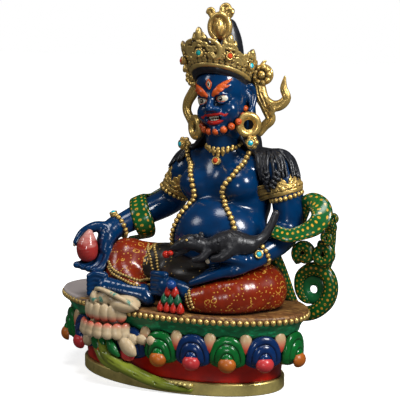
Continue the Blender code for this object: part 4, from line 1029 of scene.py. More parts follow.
hair_black = enamel("hair_black", (0.010, 0.011, 0.015), (0.003, 0.003, 0.004), rubbed=(0.12, 0.12, 0.13),
                    wear=0.6, gloss=0.3, ripple=0.5, figure=strand)
cap = Clay((-29, -28, -14), (29, 36, 42), 0.6)
cap.ball((0, 6, 20), (24.0, 26.5, 20.5), 2)
cap.ball((0, 11, 4), (23.2, 21.5, 22), 3)
for k in range(5):
    cap.chain([(x * 24.6, y, z + 1.7 * k, 0.42) for x, y, z in
               ((-1.0, 6, 12), (-0.93, -4, 18), (-0.7, -14, 24), (-0.35, -20.5, 27.5), (0, -22.5, 28.5),
                (0.35, -20.5, 27.5), (0.7, -14, 24), (0.93, -4, 18), (1.0, 6, 12))], 0.6, carve=True)
cap.ball((0, -30, 2), (26, 30, 26.5), 0.8, carve=True)
clay_form("hair_cap", cap, hair_black, **SHAPED)

CROWN_MIDDLE = (33.0, 9.5)
CROWN_HEIGHT = 194.3


def round_head(angle, reach):
    """A place on the crown's leaning ring, at an angle from the front and a reach from its middle."""
    return (CROWN_MIDDLE[0] + reach * np.sin(angle), CROWN_MIDDLE[1] - 1.04 * reach * np.cos(angle),
            CROWN_HEIGHT + 12.7 * np.cos(angle) + 0.8 * np.sin(angle))


roll = Clay((4, -22, 184), (64, 40, 212), 0.5)
for reach, drop, radius in ((21.0, 2.2, 3.4), (23.0, 1.6, 1.3), (22.6, 4.0, 1.2), (21.4, 6.0, 1.1)):
    ring = [round_head(angle, reach) for angle in np.radians(range(0, 361, 20))]
    roll.chain([(x, y, z - drop, radius) for x, y, z in ring], 0.3)
clay_form("hair_roll", roll, hair_black)
locks = Clay((-34, -12, 70), (112, 60, 250), 1.1)
locks.chain([(34, 14, 196, 18), (36, 17, 212, 14), (37, 18, 226, 10.5), (36.5, 17, 238, 7)], 3)
locks.chain([(34, 30, 178, 21), (34, 32, 150, 23), (34, 35, 128, 27), (34, 36, 104, 22), (34, 36, 84, 12)], 4,
            flat=0.42, thin=(0, 1, 0))
for k in range(-5, 6):
    locks.chain([(34 + 3.4 * k, 41.0 - 0.25 * k * k, 178, 0.7), (34 + 4.0 * k, 42.5 - 0.25 * k * k, 150, 0.9),
                 (34 + 4.6 * k, 47.0 - 0.25 * k * k, 128, 0.9),
                 (34 + 3.6 * k, 46.0 - 0.25 * k * k, 102, 0.7)], 1.4, carve=True)
clay_form("hair_locks", locks, hair_black)


def combed(clay, start, end, rise, count, radius):
    """Strands fanned from one line of places to another, each laid on the body."""
    for k, share in enumerate(np.linspace(0, 1, count)):
        first, last = [Vector(p).lerp(Vector(q), share) for p, q in (start, end)]
        last = first.lerp(last, 1.0 + 0.08 * math.sin(2.6 * k))
        stops = []
        for t in np.linspace(0, 1, 8):
            spot = first.lerp(last, t) + Vector(rise) * (4 * t * (1 - t))
            stops.append((*skin_near(spot, 1.4 + 0.5 * math.cos(2.1 * k)), radius * (1.1 - 0.55 * t**3)))
        clay.chain(stops, 0.3)


left_cape = Clay((40, -6, 92), (112, 50, 160), 0.6)
combed(left_cape, ((50, 10, 146), (50, 36, 140)), ((73, 6, 109), (102, 26, 114)), (4, 0, 12), 34, 1.9)
right_cape = Clay((-40, -4, 92), (34, 50, 160), 0.6)
combed(right_cape, ((18, 14, 146), (18, 36, 140)), ((-4, 8, 122), (-26, 28, 106)), (-4, 0, 12), 30, 1.9)
for top, low in (((79, 6, 116), (80, 4, 100)), ((90, 8, 118), (86, 6, 104))):
    for k in range(9):
        spot = Vector(top).lerp(Vector(low), k / 8) + Vector((1.3 * (-1) ** k, 0, 0))
        left_cape.ball(skin_near(spot, 2.4), (2.0, 1.8, 1.7), 0.2)
clay_form("left_cape", left_cape, hair_black)
clay_form("right_cape", right_cape, hair_black)

# The crown. A band with five leaves of beads, scrolls and set stones is cast flat, gilded, bent round the
# head and soldered to its circlet, and its back is painted red.
CROWN_BEND = 26.0
CROWN_REACH = 24.6
crown_gold = brass("crown_gold", (0.98, 0.70, 0.24), shade_antiquing_reach=0.0030, depth=0.93, back=(0.36, 0.018, 0.010))
# Each leaf's turn from the front in degrees, its height and half width, and the height of its stone.
LEAVES = ((-4.0, 30.5, 11.5, 10.0), (43.0, 27.0, 9.6, 10.2), (84.0, 22.0, 9.2, 9.8), (-48.0, 22.5, 10.2, 7.4),
          (-88.0, 20.0, 9.4, 7.4))


def crown_place(flat):
    """Bends the flat crown round the head: x runs along the band, z up it, and y inwards through it. It opens
    upwards, less so near its tips."""
    along, inwards, up = flat.T
    x, y, z = round_head(along / CROWN_BEND, CROWN_REACH - inwards + 0.50 * up - 0.006 * up**2)
    return np.stack((x, y, z + up), 1)


leaf_wax = Clay((-54, -6, -3), (54, 4, 35), 0.42)
leaf_wax.chain([(-50, 0.4, 0.4, 2.1), (0, 0.4, 0.4, 2.1), (50, 0.4, 0.4, 2.1)], 0.5, steps=24)
leaf_wax.chain([(-50, 0.9, 4.6, 3.0), (0, 0.9, 4.6, 3.0), (50, 0.9, 4.6, 3.0)], 0.5, steps=24, flat=0.4)
for along in np.arange(-48, 48.5, 4.8):
    leaf_wax.chain(curl((along, 4.6), 1.7, 0.6, 200, 1.2, 0.85, -0.6), 0.2)
for turn_at, tall, half, set_at in LEAVES:
    middle = math.radians(turn_at) * CROWN_BEND
    for up, wide, high in ((0.36, 0.98, 0.36), (0.64, 0.60, 0.28), (0.86, 0.24, 0.20)):
        leaf_wax.ball((middle, 1.0, tall * up), (half * wide, 1.4, tall * high), 0.8)
    rosette(leaf_wax, (middle, -0.9, set_at), 3.7, 9, (1.2, 1.5, 1.2), 0.2)
    for side in (-1, 1):
        for across, up, outer, wound in ((0.66, 8.4, 2.9, 1.5), (0.62, 14.0, 2.5, 1.3),
                                         (0.30, 17.6, 2.0, 1.2)):
            if up < tall * 0.8:
                leaf_wax.chain(curl((middle + side * half * across, up), outer, 0.7, 90 - side * 130,
                                    side * wound, 1.15, -0.9), 0.25)
        leaf_wax.ball((middle + side * half * 0.94, -0.6, tall * 0.52), (1.7, 1.7, 1.9), 0.3)
        leaf_wax.ball((middle + side * half * 0.34, -0.8, tall * 0.76), (1.4, 1.5, 1.6), 0.3)
    leaf_wax.ball((middle, -1.1, set_at + 6.4), (1.9, 1.8, 1.7), 0.2)
    leaf_wax.ball((middle, -1.0, set_at + 9.9), (2.3, 1.9, 1.7), 0.2)
    leaf_wax.chain([(middle, -0.2, tall * 0.78, 2.3), (middle, -0.3, tall * 0.92, 2.1),
                    (middle + 0.4, 0, tall + 1, 0.9)], 0.4)
    for side in (-1, 1):
        leaf_wax.chain([(middle + side * 1.8, -0.4, tall * 0.72, 1.3),
                        (middle + side * 3.6, -0.4, tall * 0.80, 1.3),
                        (middle + side * 3.2, -0.3, tall * 0.90, 0.7)], 0.3)
for middle, way in ((9.4, 1), (-11.6, -1)):
    leaf_wax.ball((middle, 1.0, 11.5), (5.2, 1.3, 10.5), 0.6)
    leaf_wax.chain(curl((middle - way * 0.6, 14.2), 2.3, 0.6, 90, way * 1.4, 1.1, -0.8), 0.2)
    leaf_wax.ball((middle - way * 1.6, -0.4, 19.4), (1.3, 1.4, 1.3), 0.2)
    leaf_wax.chain([(middle - way * 3.6, -0.8, 22, 1.2), (middle + way * 0.6, -1.0, 20.4, 1.7),
                    (middle + way * 3.0, -1.1, 15.5, 1.9), (middle + way * 2.6, -1.1, 9.4, 1.9),
                    (middle - way * 0.8, -1.1, 6.4, 1.7), (middle - way * 3.0, -1.1, 9.0, 1.3)], 0.3)
places, quads = leaf_wax.surface()
inwards = places[quads][:, :, 1]
painted = np.repeat(inwards.mean(1) > 1.5, 4)
# The second number of flow is painted shade with dark antiquing: full where the carving sinks 0.8 mm behind
# its proudest parts, and none on the red back.
sunk_shade_and_antiquing = np.clip((inwards.ravel() + 1.35) / 0.8, 0, 1) * ~painted
form("crown", crown_place(places), quads.tolist(), crown_gold, "figure_enamel", lift=SEAT,
     flow=np.stack((painted, sunk_shade_and_antiquing), 1))

# The crest stands before the hair knot: a framed jewel with three curls above it. The rosettes and flame
# ribbons at both sides, and the wheel earrings with their knots, are cast singly and soldered on.
trim_gold = brass("trim_gold", (0.86, 0.58, 0.18), rough=0.22, shade_antiquing_reach=0.0040, depth=0.95)
crest = Clay((16, -4, 220), (52, 20, 260), 0.5)
crest.ball((34.5, 8, 238), (9, 4, 11), 1.5)
crest.chain(hoop((34, 5.5, 238), 9.6, 10.8, 2.3, range(-60, 246, 25)), 0.8)
crest.ball((34, 4.5, 237.5), (3.4, 3.2, 7), 0.8)
crest.chain(curl((39.5, 253.0), 4.2, 1.4, 170, -1.25, 2.1, 7.0), 0.6)
crest.chain([(35, 7, 245, 3.2), (35.3, 7, 250, 2.8), (36, 7, 254, 2.4)], 1.0)
for side in (-1, 1):
    crest.chain([(34 + side * 4, 7, 245, 2.8), (34 + side * 9, 7, 248, 2.5),
                 (34 + side * 11, 7, 252, 2.2)], 1.0)
    crest.chain(curl((34 + side * 8.6, 250.4), 3.4, 1.0, 90 - side * 90, side * 1.2, 1.7, 6.0), 0.6)
clay_form("crest", crest, trim_gold)
sides_wax = Clay((-14, -6, 128), (98, 30, 212), 0.6)
for x, z, size in ((69.2, 198, 9.0), (2, 193, 7.6)):
    sides_wax.ball((x, 20, z), (size, 3.6, size), 0.8)
    rosette(sides_wax, (x, 16.6, z), size * 0.74, 9, (2.6, 2.4, 2.6), 0.3)
    sides_wax.ball((x, 15.8, z), (size * 0.40, 3.0, size * 0.40), 0.3)
    sides_wax.chain([(x, 17, z + size * 0.8, 2.6), (x + 1, 17.5, z + size * 1.15, 1.6),
                     (x + 3, 18, z + size * 1.3, 0.7)], 0.5)
ribbon_stops = (
    [(64, 20, 192, 5.6), (65.6, 20, 184, 6.0), (68.8, 20, 176, 5.8), (77.3, 20, 171.5, 5.0),
     (85.6, 20, 173, 4.6), (90.9, 20, 179, 4.0), (88.5, 19, 187, 3.4), (89.5, 19, 197, 1.0)],
    [(66.5, 20, 180, 5.2), (72, 21, 168, 5.0), (75.5, 21, 160, 4.6), (70, 21, 154, 4.2), (66, 20, 148, 3.4)],
    [(72, 20, 168, 3.0), (76, 19, 172, 3.2), (79, 18, 169, 2.8), (77.5, 18, 165, 2.4)],
    [(4, 21, 187, 5.0), (-1, 21, 179, 5), (-6, 21, 171, 4.6), (-7, 21, 163, 4.2),
     (-3, 21, 155, 4), (0, 20, 148, 3)])
for stops in ribbon_stops:
    sides_wax.chain(stops, 0.8, flat=0.7, thin=(0, 1, 0))
    for shift in (-0.42, 0.0, 0.42):
        sides_wax.chain([(x + r * shift, y - r * 0.70, z + r * shift, r * 0.16) for x, y, z, r in stops],
                        0.4, carve=True)
for x, z, side in ((63, 156, 1), (11, 151, -1)):
    for wheel, wire in ((8.2, 3.0), (5.2, 1.0)):
        sides_wax.chain(hoop((x, 4, z), wheel, wheel, wire, range(0, 361, 24), (0.809, side * 0.588)), 0.4)
clay_form("ribbons_and_wheels", sides_wax, trim_gold)
knots = Clay((-8, -10, 126), (80, 14, 152), 0.5)
for x, z in ((67.5, 141.5), (1.5, 136.5)):
    rosette(knots, (x, 2, z), 4.0, 6, (2.4, 2.6, 2.4), 0.5)
    knots.ball((x, 1, z), (3.6, 3.4, 3.6), 0.4)
clay_form("earring_knots", knots, trim_gold)

# The scarf. A long cloth is cast as broad flat ribbons: over the back, looped at the left elbow, wound round
# the right forearm, and scrolled beside the seat, with small knobs up to the loop. It is enamelled green with
# rows of yellow dots, and a plain green lining shows inside its scrolls.
RIBBON_SIDES = 20


def ribbon(name, stops, flat, face, steps=6):
    """A broad ribbon of the scarf with rolled edges, through stops of x, y, z and half width. It faces along
    face, or along what face gives for a place."""
    path = flowing(stops, steps)
    rows = []
    for i, (x, y, z, half) in enumerate(path):
        ahead = path[min(i + 1, len(path) - 1)][:3] - path[max(i - 1, 0)][:3]
        ahead = Vector(ahead).normalized()
        front = face(Vector((x, y, z))) if callable(face) else Vector(face)
        across = ahead.cross(front).normalized()
        front = across.cross(ahead).normalized()
        end = 0.55 if i in (0, len(path) - 1) else 1.0
        row = []
        for k in range(RIBBON_SIDES):
            turn = 2 * math.pi * k / RIBBON_SIDES
            wide = math.copysign(abs(math.cos(turn)) ** 0.7, math.cos(turn)) * half * end
            lip_up = 1.0 + 0.28 * abs(math.cos(turn)) ** 4
            deep = math.copysign(abs(math.sin(turn)) ** 0.8, math.sin(turn)) * half * flat * end * lip_up
            row.append(Vector((x, y, z)) + across * wide + front * deep)
        rows.append([tuple(p) for p in row])
    places, faces, flow = loft(rows)
    form(name, places, faces, scarf_green, "figure_enamel", lift=SEAT, flow=flow)


def gold_dots(tree, place, tone):
    """Yellow dots in rows that follow the ribbon, on its outer face and edges."""
    flow = add(tree, "ShaderNodeUVMap", uv_map="flow").outputs[0]
    row = sums(tree, "MULTIPLY", part_of(tree, flow, "Y"), 11.0)
    half_step = sums(tree, "MULTIPLY", sums(tree, "MODULO", sums(tree, "FLOOR", row), 2.0), 0.5)
    shifted = sums(tree, "ADD", sums(tree, "DIVIDE", part_of(tree, flow, "X"), 4.6), half_step)
    du = sums(tree, "SUBTRACT", sums(tree, "FRACT", shifted), 0.5)
    dv = sums(tree, "SUBTRACT", sums(tree, "FRACT", row), 0.5)
    reach = sums(tree, "SQRT", sums(tree, "ADD", sums(tree, "MULTIPLY", du, du),
                                    sums(tree, "MULTIPLY", dv, dv)))
    rubbed = span(tree, noise(tree, place, 500.0, 3.0), 0.3, 0.42)
    return blend(tree, sums(tree, "MULTIPLY", span(tree, reach, 0.26, 0.19), rubbed), tone,
                 (0.68, 0.36, 0.035))


scarf_green = enamel("scarf_green", (0.006, 0.12, 0.022), (0.003, 0.045, 0.010), gloss=0.16, shade_antiquing_reach=0.005,
                     figure=gold_dots)
loop = [(98, 32, 70, 6), (104, 26, 80, 6), (109, 22, 89, 6.5), (117, 19, 92, 8), (126, 14, 89, 9),
        (130.5, 8, 82, 9), (127, 2, 74.5, 8), (118, -4, 69.4, 6.5), (108, -11, 67, 6), (95, -13, 70.5, 6)]
tail = [(76, 22, 44, 7), (80.7, 24, 32, 7.5), (83, 30, 19, 7.5), (86, 36, 4, 7), (90, 40, -8, 6.8),
        (97.2, 41, -12.4, 6.6), (110, 41, -9.5, 6.6), (121.5, 41, 0.6, 6.6), (125.5, 41, 14.4, 6.4),
        (120.5, 41, 26.5, 6.2), (108, 41, 29, 5.8), (97.5, 41, 22, 5.2), (95.5, 41, 11, 4.6),
        (99, 41, 2.5, 3.8), (106, 42, -0.5, 2.6), (112, 43, 1.5, 1.2)]
riser = [(118, 41, 27, 4.6), (123, 39, 40, 5.2), (126, 35, 52, 5), (128.5, 31, 62, 5), (131, 24, 72, 4.8),
         (131, 14, 80, 4)]
right_scarf = [(-14, 38, 100, 8), (-32, 38, 88, 8), (-46, 26, 80, 7.5), (-53, 14, 82, 6), (-47, 2, 83, 8),
               (-38, -9, 74, 9), (-33, -8, 60, 9), (-40, 4, 50, 7), (-56, 12, 44, 6.5), (-62, 10, 30, 6),
               (-58, 0, 14, 5)]
ribbon("scarf_loop", loop, 0.32, (0.35, -0.85, 0.3))
ribbon("scarf_tail", tail, 0.7, (0, -1, 0))
ribbon("scarf_riser", riser, 0.7, (0, -1, 0))
ribbon("scarf_right", right_scarf, 0.3, lambda place: place - Vector((-40, 4, 66)))
for name, x, z, reach, wide, start, wound in (
    ("scarf_scroll_left", 103.5, 43.5, 8.2, 4.8, 250, -1.15),
    ("scarf_scroll_right", 120.5, 44.0, 8.4, 4.8, 120, -1.15),
    ("scarf_knob_low", 126.5, 60.5, 4.6, 2.8, 240, 1.1), ("scarf_knob_mid", 130.0, 69.5, 4.2, 2.6, 100, -1.1),
    ("scarf_knob_top", 132.5, 78.0, 3.4, 2.2, 240, 1.0),
):
    stops = [(sx, 33 if z < 55 else 27, sz, wide)
             for sx, _, sz, _ in curl((x, z), reach, wide * 0.7, start, wound, 3)]
    ribbon(name, stops, 0.8, (0, -1, 0), steps=3)
scarf_lining = enamel("scarf_lining", (0.008, 0.15, 0.045), (0.004, 0.06, 0.018), gloss=0.2, shade_antiquing_reach=0.005)
lining = Clay((88, 26, -10), (136, 52, 60), 0.7)
lining.chain(hoop((108.8, 42, 10.4), 8.6, 8.6, 5.2, range(0, 361, 30)), 0.4, flat=0.5)
for x, z in ((103.5, 43.0), (120.5, 43.5)):
    lining.ball((x, 39, z), (7.5, 2.2, 7.5), 0.3)
    lining.chain(hoop((x, 37, z), 3.6, 3.6, 2.2, range(0, 361, 40)), 0.3, flat=0.7)
clay_form("scarf_lining", lining, scarf_lining)

# The mongoose lies along the left arm and spits jewels. It is cast solid and painted black, with short hair
# strokes cut into it and rubbed grey. Its eyes are gold and the jewels are red.
fur_black = enamel("fur_black", (0.018, 0.018, 0.022), (0.005, 0.005, 0.006), rubbed=(0.22, 0.22, 0.24),
                   wear=0.9, gloss=0.28, ripple=0.7)
beast = Clay((8, -62, 38), (106, 2, 92), 0.6)
beast.chain([(80, -26, 58, 8), (66, -33, 60, 11.5), (50, -37, 56, 8), (42, -41, 57, 6.2)], 3)
beast.chain([(42, -42, 58, 6.4), (34, -46, 60, 6.8), (26, -49, 57, 4.4), (20, -51, 54, 2.4)], 2)
beast.chain([(31, -47, 54, 3.4), (22, -50, 48.0, 2.0)], 1.5)
for x, y in ((40, -37), (41, -47)):
    beast.ball((x, y, 65), (2.6, 2.0, 3.2), 1.0)
beast.chain([(80, -26, 60, 6), (88, -18, 64, 4.2), (93, -12, 74, 3.6), (96, -9, 84, 3.2)], 3)
beast.chain([(50, -43, 53, 4), (46, -47, 48, 3.2), (40, -49, 46, 2.6)], 1.5)
beast.chain([(70, -38, 56, 6), (64, -45, 50, 4), (57, -46, 48, 3)], 1.5)
for k in range(26):
    turn, along = 2.4 * k, 46 + 1.35 * k
    x, y, z = along, -35 + 8 * math.cos(turn), 58 + 10 * math.sin(turn)
    beast.chain([(x - 3, y - 2, z + 1.5, 0.35), (x, y - 2.6, z + 0.8, 0.5), (x + 3, y - 2, z - 0.6, 0.35)],
                0.4, carve=True)
clay_form("mongoose", beast, fur_black)
gold_eyes = Clay((24, -58, 54), (42, -44, 68), 0.35)
gold_eyes.ball((34.2, -51.6, 62.6), (1.5, 1.2, 1.3), 0.1)
gold_eyes.ball((27.5, -50.8, 62.0), (1.3, 1.2, 1.3), 0.1)
clay_form("mongoose_eyes", gold_eyes, chain_gold)
jewel_red = enamel("jewel_red", (0.55, 0.025, 0.012), (0.28, 0.01, 0.006), gloss=0.12, wear=0.0)
spat = Clay((8, -60, 40), (30, -44, 58), 0.4)
spat.ball((14.8, -52.4, 48.6), (3.4, 3.2, 3.2), 0.4)
spat.ball((19.4, -53.2, 50.4), (2.6, 2.2, 2.2), 0.4)
clay_form("spat_jewels", spat, jewel_red)

# The great jewel is held between the right hand's thumb and fingers. It is a smooth egg, cast with the hand
# and enamelled red, and paler at its top.


def pale_top(tree, place, tone):
    """Pale pink strokes over the jewel's point."""
    stroke = add(tree, "ShaderNodeMapping", {"Vector": place, "Rotation": (0.5, 0.6, 0), "Scale": (1, 1, 4)})
    wave = noise(tree, stroke.outputs[0], 90.0, 5.0)
    high = sums(tree, "ADD", part_of(tree, place, "Z"), span(tree, wave, 0.3, 0.7, -0.006, 0.006))
    return blend(tree, span(tree, high, 0.118, 0.131), tone, (0.62, 0.30, 0.26))


egg_red = enamel("egg_red", (0.40, 0.035, 0.030), (0.25, 0.016, 0.016), gloss=0.1, wear=0.0, figure=pale_top)
egg = Clay((-82, -62, 28), (-55, -34, 66), 0.5)
egg.chain([(-68.5, -47.5, 41.5, 9.2), (-68.7, -47.3, 46, 9.4), (-67.8, -46.6, 54, 5.6),
           (-67.2, -46, 58.5, 3.0)], 3)
clay_form("great_jewel", egg, egg_red)

# The small lotus under the right foot, with green sepals, and its stalk, which runs along the rim and ends in
# a gold tip. They are cast with the pedestal. The petals are cream, blushed red where their two tiers meet.


def blush(tree, place, tone):
    """Red-pink at the height where the tiers meet, and teal and brown strokes along the petals."""
    z = part_of(tree, place, "Z")
    away = sums(tree, "ABSOLUTE", sums(tree, "SUBTRACT", z, 0.0590))
    tone = blend(tree, span(tree, away, 0.006, 0.001, 0.0, 0.95), tone, (0.58, 0.035, 0.02))
    teal = sums(tree, "MULTIPLY", span(tree, z, 0.073, 0.077),
                span(tree, noise(tree, place, 120.0, 5.0), 0.55, 0.62))
    return blend(tree, teal, tone, (0.03, 0.26, 0.20))


lotus_cream = enamel("lotus_cream", (0.66, 0.52, 0.33), (0.44, 0.29, 0.14), gloss=0.28,
                     figure=blush, shade_antiquing_reach=0.006)
pad = Clay((-84, -84, -46), (14, -30, 18), 0.6)
pad.ball((-39, -57, 6.5), (14, 12.5, 9), 0.6)
pad.ball((-22, -60, 3), (14.5, 11, 7.5), 0.5)
pad.ball((-49, -60, 6), (6.5, 10, 8.5), 0.3)
pad.chain([(-54, -60, 11, 1.6), (-45, -66, 15, 2.0), (-30, -68.5, 12.5, 2.2), (-16, -68, 7.5, 2.2),
           (-8, -63, 1, 1.6)], 0.4)
pad.ball((-40, -53, -16), (17, 12, 14), 2)
for tier, count, start, step, height, tall in ((0, 6, -142, 19.5, -5.5, 8.0), (1, 7, -152, 20.5, -20.0, 7.2)):
    for k in range(count):
        turn = math.radians(start + step * k)
        x = -39.5 - 2.5 * tier + (23 + 1.5 * tier) * math.cos(turn)
        y = -52.5 + (16.5 + 2 * tier) * math.sin(turn)
        spin = np.array(((-math.sin(turn), math.cos(turn), 0),
                         (math.cos(turn), math.sin(turn), 0), (0, 0, 1))).T
        lean = 1 if tier else -1
        pad.ball((x, y, height - lean * 0.6), (5.6, 3.4, tall), 0.25, turn=spin)
        pad.ball((x + lean * math.cos(turn), y + lean * math.sin(turn), height - lean * 3.4),
                 (5.0, 3.2, 4.6), 0.6, turn=spin)
for x, y, z, wide, tall in ((-14, -61, -27.5, 6, 5.5), (-5, -60, -26.5, 5.5, 4.6),
                            (5, -60.5, -26.0, 4.6, 4.6)):
    pad.ball((x, y, z), (wide, 3.6, tall), 0.3)
pad.chain([(-22, -64, -29, 5.0), (-15, -66, -34, 6.4), (-10, -66, -38, 3.0)], 0.5, flat=0.7)
pad.chain([(-60, -50, -30, 5.0), (-65, -52, -35, 5.4), (-66, -52, -39, 3.0)], 0.5)
clay_form("small_lotus", pad, lotus_cream, "base_enamel")
stalk_green = enamel("stalk_green", (0.24, 0.29, 0.030), (0.10, 0.13, 0.014), gloss=0.16)
stalk = [(-45, -62, -30, 3.6), (-40, -64, -40, 5.0), (-28, -66, -48, 5.6), (-8, -61, -57.5, 5.4),
         (10, -57, -63.5, 4.9), (26, -53.5, -66.1, 3.6), (38, -52, -66.5, 2.4)]
stalk_wax = Clay((-72, -76, -72), (44, -40, -26), 0.8)
stalk_wax.chain(stalk, 1.0)
stalk_wax.chain([(-58, -55, -36, 2.4), (-50, -60, -42, 3.0), (-40, -65, -49, 3.8), (-26, -66, -53, 4.0)], 0.8)
for x, y, z, radius in stalk[1:5]:
    stalk_wax.chain([(x - 6, y - radius * 0.8, z + 3.4, 0.35), (x, y - radius * 0.95, z + 0.6, 0.5),
                     (x + 7, y - radius * 0.8, z - 2.2, 0.35)], 0.6, carve=True)
clay_form("stalk", stalk_wax, stalk_green, "base_enamel")
sepal_green = enamel("sepal_green", (0.008, 0.15, 0.03), (0.003, 0.05, 0.012), gloss=0.2)
sepals = Clay((-66, -76, -46), (-14, -46, -26), 0.6)
for stops in ([(-55, -58, -30, 3.4), (-52, -60, -36, 4.4), (-48, -61, -41, 2.4)],
              [(-34, -66, -31, 3.6), (-30, -68, -36, 4.4), (-24, -68, -41, 2.0)],
              [(-44, -64, -30, 3.0), (-42, -65, -34, 3.0), (-41, -65, -37, 1.6)]):
    sepals.chain(stops, 0.5, flat=0.7)
clay_form("sepals", sepals, sepal_green, "base_enamel")
tip_wax = Clay((4, -66, -70), (44, -48, -56), 0.5)
tip_wax.chain([(12, -54.5, -61.0, 1.6), (22, -54, -61.4, 2.0), (32, -53.5, -61.6, 2.4),
               (38, -53, -62.6, 3.0)], 0.5)
for k in range(6):
    tip_wax.ball((13 + 4.2 * k, -55.6, -61.8), (1.7, 1.6, 1.5), 0.3)
clay_form("stalk_tip", tip_wax, foot_gold, "base_enamel")

# The offerings before the left foot are two rows of pointed gems, two more above them and a round one on top.
# They are cast in one heap with the platform and enamelled red, green and blue.
gem_green = enamel("gem_green", (0.008, 0.13, 0.05), (0.003, 0.04, 0.02), gloss=0.15)
gem_blue = enamel("gem_blue", (0.008, 0.06, 0.26), (0.003, 0.02, 0.1), gloss=0.1)
for name, finish, count, height, y in (("red_gems", jewel_red, 4, 3, -57.5),
                                       ("green_gems", gem_green, 3, 10, -56.5),
                                       ("upper_gems", jewel_red, 2, 16.5, -55.5)):
    heap = Clay((4, -66, 0.2), (40, -46, 28), 0.5)
    for k in range(count):
        x = 22 + (k - (count - 1) / 2) * 6.4
        heap.chain([(x, y, height, 3.5), (x, y, height + 3.0, 2.4), (x, y, height + 6.0, 0.9)], 0.5)
    heap.trim(low=0.3)
    clay_form(name, heap, finish, "base_enamel")
top_gem = Clay((14, -64, 16), (30, -48, 32), 0.5)
top_gem.ball((22, -56, 24), (4.3, 4.3, 4.2), 0.5)
clay_form("blue_gem", top_gem, gem_blue, "base_enamel")

# The ten stones are polished turquoise and coral. Each is glued into a gold cup with a beaded edge, which is
# cast with the statue.


def polished(name, colour, vein):
    """A polished opaque stone with fine veins."""
    made, tree, shader, place = new_finish(name)
    veins = noise(tree, place, 700.0, 6.0)
    feed(tree, shader, {"Base Color": blend(tree, span(tree, veins, 0.5, 0.66), colour, vein),
                        "Roughness": span(tree, veins, 0.3, 0.7, 0.12, 0.24),
                        "Normal": bump(tree, 0.1, 0.0002, veins)})
    return made


# The way each stone looks out of its cup.
STONE_FACES = {
    "crown_stone_front": (0.0, -1.0, 0.1), "crown_stone_left_front": (0.72, -0.69, 0.1),
    "crown_stone_left_side": (1.0, -0.15, 0.1), "crown_stone_right_front": (-0.72, -0.69, 0.1),
    "crown_stone_right_side": (-1.0, -0.05, 0.1), "earring_stone_left": (0.5, -0.86, 0.0),
    "earring_stone_right": (-0.5, -0.86, 0.0), "necklace_stone": (0.0, -0.95, 0.3),
    "wrist_stone_left": (0.5, -0.8, 0.3), "wrist_stone_right": (-0.2, -0.2, 1.0)}
stones = {"teal": polished("teal_polish", (0.008, 0.26, 0.24), (0.02, 0.12, 0.12)),
          "turquoise": polished("turquoise_polish", (0.02, 0.48, 0.60), (0.05, 0.25, 0.30)),
          "coral": polished("coral_polish", (0.62, 0.07, 0.015), (0.35, 0.03, 0.01))}
STONE_KINDS = {"crown_stone_front": "teal", "crown_stone_left_front": "coral",
               "crown_stone_right_front": "coral", "necklace_stone": "coral"}
for name, out in STONE_FACES.items():
    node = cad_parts[name]
    node.data.materials.clear()
    node.data.materials.append(stones[STONE_KINDS.get(name, "turquoise")])
    low, high = [above_seat(Vector(corner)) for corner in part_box(name)]
    middle = (low + high) / 2
    out = Vector(out).normalized()
    cup = Clay(middle - Vector((8, 8, 8)), middle + Vector((8, 8, 8)), 0.4)
    cup.ball(middle - out * 2.2, (3.6, 3.6, 3.6), 0.4)
    cup.ball(middle + out * 2.4, (3.2, 3.2, 3.2), 0.3, carve=True)
    cup.chain([(*place, 0.75) for place in ring_round(middle - out * 0.3, out, 2.95, 20)], 0.3)
    clay_form(name + "_cup", cup, trim_gold)

# The camera stands 30 degrees to the statue's left and a little above it, as the photograph's did. A strong
# soft light stands to its right, weaker ones in front, to its left and above, and the floor is pale and glows
# white for the camera.
PHOTO_SIDE = 400.0
FOCAL_PIXELS = 1366.7
SHIFT_PIXELS = (17.97, -7.88)
SENSOR = 36.0
AIM = Vector((0.0, 0.0, 0.165))
MIDDLE = Vector((0.0, 0.0, 0.17))
AWAY = 1.2


def way_to(side, height):
    """The way from the statue to what stands turned to its left and raised, both in degrees."""
    side, height = math.radians(side), math.radians(height)
    return Vector((math.sin(side) * math.cos(height), -math.cos(side) * math.cos(height), math.sin(height)))


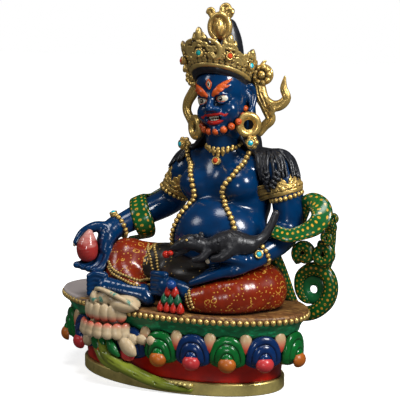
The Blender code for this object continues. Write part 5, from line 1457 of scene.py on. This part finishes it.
camera = put("camera", bpy.data.cameras.new("camera"))
bpy.context.scene.camera = camera
camera.data.sensor_width = SENSOR
camera.data.lens = FOCAL_PIXELS * SENSOR / PHOTO_SIDE
camera.data.shift_x, camera.data.shift_y = [pixels / PHOTO_SIDE for pixels in SHIFT_PIXELS]
camera.data.clip_start, camera.data.clip_end = 0.05, 20.0
back = way_to(30.0, 9.09)
right = Vector((-back.y, back.x, 0.0)).normalized()
stand = Matrix((right, back.cross(right), back)).transposed().to_4x4()
stand.translation = AIM + back * AWAY
camera.matrix_world = stand
for name, side, height, away, size, power in (
    ("key", 74, 34, 0.9, (0.22, 0.30), 8.0), ("front", 20, 6, 1.4, (0.16, 0.24), 3.0),
    ("fill", -48, 32, 1.2, (0.3, 0.3), 2.4), ("top", 10, 74, 1.1, (0.35, 0.35), 4.5),
):
    lamp = bpy.data.lights.new(name, "AREA")
    lamp.shape, lamp.energy = "RECTANGLE", power
    lamp.size, lamp.size_y = size
    way = way_to(side, height)
    aimed = way.to_track_quat("Z", "Y").to_matrix().to_4x4()
    put(name, lamp).matrix_world = Matrix.Translation(MIDDLE + way * away) @ aimed
world = bpy.data.worlds.new("studio")
world.use_nodes = True
tree = world.node_tree
seen = add(tree, "ShaderNodeLightPath").outputs["Is Camera Ray"]
feed(tree, tree.nodes["Background"], {"Strength": span(tree, seen, 0.0, 1.0, 0.06, 1.0),
                                      "Color": (1.0, 1.0, 1.0, 1.0)})
bpy.context.scene.world = world
bpy.context.scene.view_settings.view_transform = "Standard"
FLOOR_HALF = 4
FLOOR_DROP = -0.0002
floor_mesh = bpy.data.meshes.new("floor")
corners = [(x * FLOOR_HALF, y * FLOOR_HALF, FLOOR_DROP) for x, y in ((-1, -1), (1, -1), (1, 1), (-1, 1))]
floor_mesh.from_pydata(corners, [], [(0, 1, 2, 3)])
pale, tree, shader, place = new_finish("pale_floor")
seen = add(tree, "ShaderNodeLightPath").outputs["Is Camera Ray"]
away = add(tree, "ShaderNodeVectorMath", {0: place}, operation="LENGTH").outputs["Value"]
feed(tree, shader, {
    "Base Color": blend(tree, seen, (0.10, 0.10, 0.10), (0.8, 0.8, 0.8)),
    "Roughness": 0.8, "Specular IOR Level": 0.0,
    "Emission Strength": sums(tree, "MULTIPLY", seen, span(tree, away, 0.12, 0.45, 0.72, 1.0)),
    "Emission Color": (1.0, 1.0, 1.0, 1.0)})
floor_mesh.materials.append(pale)
put("floor", floor_mesh)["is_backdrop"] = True

low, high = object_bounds()
